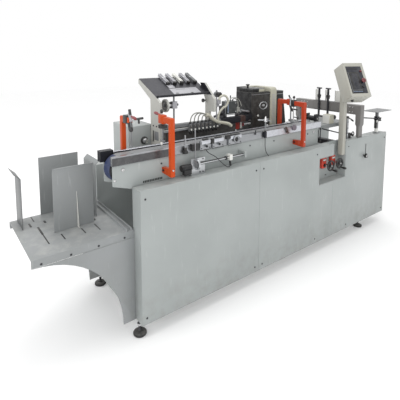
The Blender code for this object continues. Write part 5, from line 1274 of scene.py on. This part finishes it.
class LAMINATOR_OT_rack(bpy.types.Operator):
    """Slotted profiles with black end caps on the tool rack, its knobs, the guide disc and the sensor"""

    bl_idname = "laminator.rack"
    bl_label = "Tool rack"

    def execute(self, context):
        slope = math.radians(25)
        along = np.array((0.0, math.cos(slope), math.sin(slope)))
        normal = np.array((0.0, -math.sin(slope), math.cos(slope)))
        tray = np.eye(4)
        tray[:3, 0], tray[:3, 1], tray[:3, 2] = (1.0, 0.0, 0.0), normal, along
        tray[:3, 3] = (0.0, 0.33, 1.218)
        half, notch = 0.0104, 0.0026
        edge = [
            (-half, -half), (-notch, -half), (-notch, -half + 0.003), (notch, -half + 0.003), (notch, -half),
            (half, -half), (half, -notch), (half - 0.003, -notch), (half - 0.003, notch), (half, notch),
            (half, half), (notch, half), (notch, half - 0.003), (-notch, half - 0.003), (-notch, half),
            (-half, half), (-half, notch), (-half + 0.003, notch), (-half + 0.003, -notch), (-half, -notch),
        ]
        parts = []
        for index in range(context.scene.laminator_sizes.bars):
            x = 0.45 + index * 0.0545
            profile = moved(slab(edge, 0.112), (x, 0.0106, 0.1505))
            cap = soft_block((x - 0.0112, 0.0002, 0.134), (x + 0.0112, 0.0218, 0.151), 0.0025)
            clip = soft_block((x - 0.0112, 0.0002, 0.205), (x + 0.0112, 0.0216, 0.211), 0.001)
            # Lit and shaded copies of one profile: the third is painted white as a painted highlight, the
            # fifth grey as painted shade
            parts += [
                (moved(profile, tray), ("bar", "bar", "white", "bar", "grey")[index % 5]),
                (moved(cap, tray), "black"),
                (moved(clip, tray), "plate"),
            ]
        piece("rack_profiles", parts)
        sheet = [
            (soft_block((0.43, 0.0004, 0.008), (0.64, 0.0022, 0.09), 0.0006), "bar"),
            (soft_block((0.33, 0.0004, 0.004), (0.426, 0.0018, 0.06), 0.0006), "grey"),
            (soft_block((0.436, 0.0004, 0.096), (0.482, 0.003, 0.134), 0.0006), "bar"),
        ]
        for x, run in ((0.458, 0.029), (0.57, 0.025)):
            mark = soft_block((x - 0.01, 0.001, run - 0.005), (x + 0.01, 0.0026, run + 0.005), 0.0006)
            sheet.append((mark, "black"))
        sheet.append((soft_block((0.474, 0.001, 0.0735), (0.544, 0.0026, 0.0765), 0.0006), "steel"))
        piece("rack_sheet", [(moved(shape, tray), look) for shape, look in sheet])
        wing = [
            (0.0001, 0), (0.005, 0), (0.005, 0.008), (0.0125, 0.011), (0.0135, 0.016), (0.0125, 0.021),
            (0.0001, 0.023),
        ]
        hexagon = turned([(0.0001, 0), (0.0105, 0), (0.0105, 0.008), (0.0001, 0.008)], 6)
        nut = moved(hexagon, (0.43, 0.355, 1.0353))
        marks = [(lathe(wing, (0.6938, 0.377, 1.168), LEFT, 18), "black"), (nut, "bright")]
        for y, z in ((0.361, 1.044), (0.323, 1.044)):
            marks.append((screws(0.0052, 0.003, [(0.2856, y, z)], LEFT), "blued"))
        marks.append((soft_block((0.2848, 0.357, 0.945), (0.2862, 0.369, 1.014), 0.0006), "black"))
        marks.append((soft_block((0.2851, 0.302, 0.958), (0.2861, 0.35, 1.012), 0.0004), "grey"))
        piece("rack_knobs", marks)
        face = [(0.032, 0), (0.032, 0.0016), (0.03, 0.0022), (0.015, 0.0026), (0.0001, 0.0026)]
        boss = [(0.0105, 0), (0.0105, 0.003), (0.0001, 0.0036)]
        lock = [
            (0.0001, 0), (0.004, 0), (0.004, 0.006), (0.0075, 0.008), (0.0075, 0.014), (0.0001, 0.016),
        ]
        y, z = 0.355, 1.16
        disc = [
            (lathe(face, (0.3662, y, z), LEFT, 36), "ash"),
            (lathe(boss, (0.364, y, z), LEFT, 20), "blued"),
            (lathe(lock, (0.4462, y, z), RIGHT, 16), "black"),
        ]
        for pin_z in (1.146, 1.174):
            disc.append((stick((0.38, y, pin_z), (0.41, y, pin_z), 0.0068), "black"))
        piece("disc_details", disc)
        ring = [(0.0183, 0), (0.0183, 0.01), (0.017, 0.012), (0.0001, 0.012)]
        dark = [(0.0186, -0.002), (0.019, 0.002), (0.019, 0.016), (0.0183, 0.018)]
        tip = [(0.0001, 0), (0.0056, 0), (0.0056, 0.008), (0.003, 0.012), (0.0001, 0.012)]
        piece(
            "sensor_details",
            [
                (lathe(ring, (0.777, 0.329, 1.204), OUT, 26), "black"),
                (lathe(dark, (0.777, 0.364, 1.204), OUT, 26), "grey"),
                (lathe(tip, (0.777, 0.355, 1.2215)), "grey"),
                (soft_block((0.762, 0.326, 1.14), (0.792, 0.341, 1.172), 0.003), "bar"),
            ],
        )
        return {"FINISHED"}


class LAMINATOR_OT_glue_unit(bpy.types.Operator):
    """Front lines, bare oval ring, lid, vents and screws of the glue unit, and the applicator's fittings"""

    bl_idname = "laminator.glue_unit"
    bl_label = "Glue unit"

    def execute(self, context):
        front = 0.3798
        spot = (1.26, front, 1.085)
        oval = Matrix.Diagonal((1.18, 1.0, 0.82, 1.0))
        ring = moved(moved(aimed(torus(0.0335, 0.0044, 56, 12), (0, 0, 0), OUT), oval), spot)
        dome = [(0.013, 0), (0.012, 0.003), (0.007, 0.005), (0.0001, 0.006)]
        blob = moved(moved(lathe(dome, (0, 0, 0), OUT), oval), spot)
        plug = [(0.0075, 0), (0.008, 0.002), (0.007, 0.005), (0.0001, 0.006)]
        cap = [
            (0.0001, 0), (0.0085, 0), (0.015, 0.004), (0.016, 0.0075), (0.013, 0.0112), (0.0001, 0.0124)
        ]
        parts = [
            (ring, "plate"),
            (blob, "plate"),
            (soft_block((1.1375, front - 0.0012, 1.1725), (1.3345, front + 0.002, 1.176), 0.0008), "rail"),
            (soft_block((1.1375, front - 0.001, 1.179), (1.3345, front + 0.002, 1.1835), 0.0008), "black"),
            (soft_block((1.1375, front - 0.001, 0.899), (1.3345, front + 0.002, 0.903), 0.0008), "black"),
            (lathe(plug, (1.203, front, 1.012), OUT), "white"),
            (soft_block((1.166, 0.399, 1.2115), (1.2915, 0.548, 1.2162), 0.0015), "grey"),
            (soft_block((1.243, 0.425, 1.215), (1.282, 0.44, 1.2172), 0.0008), "black"),
            (soft_block((1.243, 0.48, 1.215), (1.282, 0.495, 1.2172), 0.0008), "black"),
            (soft_block((1.166, 0.3988, 1.213), (1.232, 0.5482, 1.2168), 0.0015), "black"),
            (bar((1.19, 0.5485, 1.207), (1.275, 0.5485, 1.207), 0.004), "steel"),
            (lathe(cap, (1.18, 0.47, 1.2355)), "black"),
        ]
        places = [(x, front, z) for x in (1.15, 1.323) for z in (0.915, 1.155)]
        parts.append((screws(0.0045, 0.0028, places), "steel"))
        places = [(1.1368, y, z) for y in (0.398, 0.536) for z in (0.915, 1.17)]
        parts.append((screws(0.0045, 0.0028, places, LEFT), "steel"))
        piece("tank_cover", parts)
        vent = slab([(-0.018, -0.0022), (0.018, -0.0022), (0.018, 0.0022), (-0.018, 0.0022)], 0.0008)
        rows = [(1.37, 0.3758, z) for z in np.arange(0.9, 1.17, 0.0125)]
        back_rows = [(x, 0.5992, z) for x in (1.22, 1.28) for z in np.arange(0.95, 1.19, 0.0125)]
        vents = [
            (scattered(aimed(vent, (0, 0, 0), OUT), rows), "bar"),
            (scattered(aimed(vent, (0, 0, 0), BACK), back_rows), "grey"),
        ]
        piece("casing_vents", vents)
        drive = [
            (soft_block((1.405, 0.4185, 1.162), (1.5335, 0.5815, 1.183), 0.003), "black"),
            (soft_block((1.405, 0.419, 1.156), (1.5345, 0.581, 1.16), 0.0012), "plate"),
        ]
        piece("drive_cap", drive)
        middle = 0.4078
        parts = []
        rim = [(0.0254, 0), (0.0262, 0.001), (0.0262, 0.004), (0.0254, 0.005)]
        for z in (0.9285, 1.0115):
            parts.append((lathe(rim, (1.008, middle, z), sides=28), "black"))
        parts += [
            (soft_block((1.024, 0.3815, 0.935), (1.04, 0.386, 1.005), 0.0012), "white"),
            (soft_block((1.045, 0.379, 0.95), (1.06, 0.39, 0.975), 0.002), "grip"),
            (stick((1.07, 0.38, 0.962), (1.12, 0.38, 0.962), 0.008), "plate"),
            (stick((1.045, 0.4, 1.062), (1.12, 0.4, 1.048), 0.0125), "rail"),
            (stick((0.875, 0.379, 1.04), (0.875, 0.379, 1.156), 0.003), "rail"),
            # Painted highlight: a narrow light-blue strip on the applicator's front
            (soft_block((0.898, 0.378, 1.06), (0.908, 0.381, 1.13), 0.001), "key"),
            (soft_block((0.895, 0.377, 1.044), (1.0, 0.381, 1.049), 0.001), "rail"),
            (soft_block((1.045, 0.377, 0.984), (1.125, 0.381, 0.989), 0.001), "rail"),
        ]
        places = [(x, 0.3793, z) for x in (0.905, 0.975) for z in (1.065, 1.127)]
        parts.append((screws(0.005, 0.003, places), "bright"))
        corners = ((0.915, 1.141), (0.915, 1.185), (1.01, 1.185), (1.03, 1.1))
        arc = cubic(*[np.array((x, 0.378, z)) for x, z in corners], 26)
        parts.append((tube(arc, 0.0026, 10, BACK), "air"))
        piece("applicator_fittings", parts)
        return {"FINISHED"}


class LAMINATOR_OT_pendant(bpy.types.Operator):
    """Pendant face: dark plate, panel with its screen and keys, lamps and the stop button"""

    bl_idname = "laminator.pendant"
    bl_label = "Pendant"

    def execute(self, context):
        tilt, turn = math.radians(28.5), math.radians(-23)
        across = Vector((math.cos(turn), math.sin(turn), 0))
        back = Vector((-math.sin(turn), math.cos(turn), 0))
        up = Vector((0, 0, 1))
        place = np.eye(4)
        place[:3, 0], place[:3, 3] = across, (1.735, -0.1, 1.292)
        place[:3, 1] = back * math.cos(tilt) - up * math.sin(tilt)
        place[:3, 2] = up * math.cos(tilt) + back * math.sin(tilt)
        lamp = [
            (0.0085, 0), (0.0085, 0.003), (0.007, 0.003), (0.0066, 0.006), (0.004, 0.0085),
            (0.0001, 0.009),
        ]
        key = soft_block((-0.0045, -0.004, -0.0025), (0.0045, -0.001, 0.0025), 0.0008)
        keys = [(u, 0, -0.0965) for u in np.linspace(-0.05, 0.014, 6)]
        parts = [
            (soft_block((-0.0675, 0.0006, -0.1095), (0.0615, 0.0022, 0.1065), 0.0005), "navy"),
            (soft_block((-0.062, -0.003, -0.103), (0.026, 0.001, 0.06), 0.0014, 4), "black"),
            (soft_block((-0.062, -0.0034, -0.103), (-0.0592, 0.0, 0.06), 0.0004), "rail"),
            (soft_block((-0.06, -0.0034, -0.0865), (0.019, 0.0, -0.0842), 0.0004), "rail"),
            (soft_block((-0.04, -0.0034, -0.082), (0.011, -0.001, 0.046), 0.0006), "glass"),
            (scattered(key, keys), "key"),
            (soft_block((-0.055, -0.0002, 0.08), (0.028, 0.001, 0.096), 0.0004), "steel"),
            (lathe(lamp, (0.051, 0.0004, 0.067), OUT, 22), "stop"),
            (lathe(lamp, (0.038, 0.0004, -0.061), OUT, 22), "black"),
        ]
        piece(
            "pendant_panel", [(moved(shape, place), look) for shape, look in parts],
            stands_for=("pendant_screen",),
        )
        collar = [(0.015, 0), (0.015, 0.003), (0.012, 0.0045), (0.009, 0.0045)]
        head = [
            (0.0088, 0.004), (0.0088, 0.011), (0.0165, 0.012), (0.018, 0.014), (0.0178, 0.018),
            (0.014, 0.0225), (0.008, 0.0238), (0.0001, 0.024),
        ]
        spot = (0.046, 0.0017, -0.013)
        stop = [(lathe(collar, spot, OUT, 26), "steel"), (lathe(head, spot, OUT, 30), "stop")]
        piece(
            "emergency_stop_detail", [(moved(shape, place), look) for shape, look in stop],
            stands_for=("emergency_stop",),
        )
        places = [(u, 0.0, v) for u in (-0.075, 0.075) for v in (-0.127, 0.127)]
        corners = screws(0.003, 0.0016, places)
        gland = [
            (0.0001, 0), (0.012, 0), (0.012, 0.004), (0.009, 0.006), (0.009, 0.012), (0.0001, 0.014)
        ]
        parts = [(corners, "bright"), (lathe(gland, (-0.035, 0.07, -0.1358), (0, 0, -1), 6), "black")]
        parts += [(bar((0.0818, 0.018, v), (0.0818, 0.018, v + 0.03), 0.003), "steel") for v in (-0.1, 0.07)]
        piece(
            "pendant_fittings", [(moved(shape, place), look) for shape, look in parts]
        )
        return {"FINISHED"}


class LAMINATOR_OT_delivery(bpy.types.Operator):
    """Press screws' handles, gantry screws, delivery knobs and lever, and the plate stand's clamp"""

    bl_idname = "laminator.delivery"
    bl_label = "Delivery end"

    def execute(self, context):
        parts = []
        wheel = [(0.0001, 0), (0.0165, 0), (0.017, 0.002), (0.017, 0.01), (0.0001, 0.012)]
        x, spindle = 1.9757, threaded(0.94, 1.18, 0.0096, 0.0014)
        for y in (0.3, 0.39):
            parts += [
                (moved(spindle, (x, y, 0)), "blued"),
                (bar((x, y - 0.019, 1.182), (x, y + 0.019, 1.182), 0.0036), "steel"),
                (lathe(wheel, (x, y, 1.11), sides=8), "black"),
            ]
        places = [(1.9896, y, z) for y in (0.075, 0.1, 0.52, 0.56, 0.585) for z in (1.045, 1.005)]
        parts.append((screws(0.0055, 0.004, places, LEFT), "bright"))
        for edge in (0.2, 0.255, 0.322, 0.35, 0.408, 0.45):
            rim = soft_block((2.0094, edge - 0.0016, 1.07), (2.0146, edge + 0.0016, 1.1655), 0.0006)
            parts.append((rim, "blued"))
        piece("press_screws", parts)
        x, y = 1.894, 0.061
        grip = [
            (0.0001, 0), (0.012, 0), (0.015, 0.003), (0.0155, 0.009), (0.013, 0.0145), (0.0001, 0.0155)
        ]
        ends = [(0.0185, 0), (0.0188, 0.003), (0.0188, 0.032), (0.015, 0.0362), (0.0001, 0.0368)]
        pin_x, pin_y = 1.574, 0.083
        parts = [
            (lathe(grip, (x, y, 0.9655)), "black"),
            (lathe(ends, (1.866, 0.1835, 0.957), RIGHT, 28), "black"),
            (stick((1.903, y, 0.955), (1.928, y, 0.961), 0.004), "steel"),
            (knob((1.926, y, 0.962), (1.988, y, 0.929), 0.0068), "black"),
            (stick((1.963, y - 0.01, 0.822), (1.963, y + 0.01, 0.822), 0.01), "steel"),
            (bar((1.903, y, 0.822), (1.963, y, 0.822), 0.0035), "steel"),
            (soft_block((1.915, y - 0.009, 0.7965), (1.945, y + 0.009, 0.842), 0.004), "black"),
            (aimed(torus(0.017, 0.0042, 30, 10), (1.963, y - 0.012, 0.83), OUT), "black"),
            (stick((pin_x, pin_y, 0.809), (pin_x, pin_y, 0.919), 0.0036), "blued"),
            (stick((pin_x, pin_y, 0.905), (pin_x, pin_y, 0.921), 0.0062), "black"),
            (stick((pin_x, pin_y, 0.809), (pin_x, pin_y, 0.824), 0.0062), "black"),
            (bar((1.608, 0.09, 0.908), (1.989, 0.09, 0.806), 0.0048), "blued"),
        ]
        bolts = [(1.9032, y, z) for z in (0.885, 0.92)]
        parts.append((screws(0.0045, 0.003, bolts, RIGHT), "bright"))
        bolts = [(x, y - 0.0092, z) for z in (0.845, 0.885, 0.935)]
        parts.append((screws(0.0045, 0.003, bolts), "steel"))
        end = [(0.0001, 0), (0.0075, 0), (0.007, 0.003), (0.0001, 0.003)]
        for end_y, way in ((0.1518, -1), (0.2542, 1)):
            parts.append((lathe(end, (1.626, end_y, 0.975), (0, way, 0), 18), "bright"))
        piece("delivery_knob", parts)
        x, y, z = 2.297, 0.03, 0.925
        turn = np.linspace(0, 2 * np.pi, 40, endpoint=False)
        star = 0.0195 + 0.004 * np.cos(5 * turn)
        lobes = slab(np.c_[star * np.cos(turn), star * np.sin(turn)], 0.014)
        sleeve = [(0.0001, 0), (0.015, 0), (0.015, 0.03), (0.013, 0.033), (0.0001, 0.033)]
        flange = [(0.0001, 0), (0.019, 0), (0.019, 0.004), (0.0001, 0.004)]
        half = np.array((0.0165, 0.0165, 0.0185))
        centre = np.array((x, y, z))
        parts = [
            (soft_block(centre - half, centre + half, 0.003), "blued"),
            (aimed(lobes, (x + 0.026, y, z - 0.008), RIGHT), "black"),
            (soft_block((x - 0.024, y - 0.012, 0.842), (x - 0.0105, y + 0.01, 0.906), 0.003), "black"),
            (bar((x + 0.014, y, z), (x + 0.028, y, z), 0.005), "bright"),
            (aimed(torus(0.0085, 0.004, 26, 10), (x - 0.022, y - 0.014, z - 0.02), (0.4, -1, 0)), "white"),
            (lathe(sleeve, (x, y, 0.8085)), "white"),
            (lathe(flange, (x, y, 0.8084)), "plate"),
            (soft_block((x - 0.035, y - 0.022, 0.988), (x + 0.035, y + 0.022, 0.9942), 0.001), "steel"),
        ]
        piece("stand_fittings", parts)
        spot = (0.2405, 0.3998, 0.952)
        base = [
            (0.0001, 0), (0.0235, 0), (0.024, 0.003), (0.0225, 0.01), (0.018, 0.012), (0.0001, 0.012)
        ]
        dial = [(0.0175, 0.01), (0.017, 0.024), (0.014, 0.026), (0.0001, 0.026)]
        parts = [(lathe(base, spot, OUT, 28), "black"), (lathe(dial, spot, OUT, 26), "bright")]
        for face, way in ((0.3998, -1), (0.6202, 1)):
            places = [(sx, face, sz) for sx in (0.148, 0.289) for sz in (0.812, 1.034)]
            parts.append((screws(0.004, 0.0025, places, (0, way, 0)), "steel"))
        piece("box_fittings", parts)
        return {"FINISHED"}


class LAMINATOR_OT_leads(bpy.types.Operator):
    """The two thin leads in front of the conveyor, hanging between their fixed ends"""

    bl_idname = "laminator.leads"
    bl_label = "Leads"

    def execute(self, context):
        radius = 0.0021
        routes = {
            "spindle_lead": [
                (0.957, 0.07, 0.9275), (0.957, 0.069, 0.905), (0.955, 0.066, 0.87), (0.963, 0.064, 0.835),
                (0.988, 0.064, 0.8035),
            ],
            "guide_lead": [
                (0.462, 0.064, 0.9275), (0.468, 0.05, 0.912), (0.5, 0.022, 0.888), (0.545, 0.01, 0.842),
                (0.582, 0.012, 0.817), (0.614, 0.024, 0.814),
            ],
        }
        for name, points in routes.items():
            line, run = evenly(smooth_path(points, 10), 0.005)
            up = RIGHT if name == "spindle_lead" else BACK
            lead = piece(name, [(tube(line, radius, 12, up), "blued")])
        return {"FINISHED"}


OPERATORS = (
    LAMINATOR_OT_stage,
    LAMINATOR_OT_finishes,
    LAMINATOR_OT_leads,
    LAMINATOR_OT_screws,
    LAMINATOR_OT_feet,
    LAMINATOR_OT_controls,
    LAMINATOR_OT_brackets,
    LAMINATOR_OT_rail_fittings,
    LAMINATOR_OT_hoses,
    LAMINATOR_OT_rack,
    LAMINATOR_OT_glue_unit,
    LAMINATOR_OT_pendant,
    LAMINATOR_OT_delivery,
)


class LAMINATOR_PT_panel(bpy.types.Panel):
    """Builders of the laminator's pieces, with their sizes and colours"""

    bl_idname = "LAMINATOR_PT_panel"
    bl_label = "Laminator"
    bl_space_type = "VIEW_3D"
    bl_region_type = "UI"
    bl_category = "Laminator"

    def draw(self, context):
        for settings in (context.scene.laminator_sizes, context.scene.laminator_colours):
            column = self.layout.column(align=True)
            for key in settings.__annotations__:
                column.prop(settings, key)
        for operator in OPERATORS:
            self.layout.operator(operator.bl_idname)


CLASSES = (LaminatorColours, LaminatorSizes, *OPERATORS, LAMINATOR_PT_panel)


def register():
    for item in CLASSES:
        bpy.utils.register_class(item)
    bpy.types.Scene.laminator_colours = PointerProperty(type=LaminatorColours)
    bpy.types.Scene.laminator_sizes = PointerProperty(type=LaminatorSizes)


def unregister():
    del bpy.types.Scene.laminator_sizes
    del bpy.types.Scene.laminator_colours
    for item in reversed(CLASSES):
        bpy.utils.unregister_class(item)


def main():
    register()
    for operator in OPERATORS:
        family, name = operator.bl_idname.split(".")
        getattr(getattr(bpy.ops, family), name)()


if __name__ == "__main__":
    main()
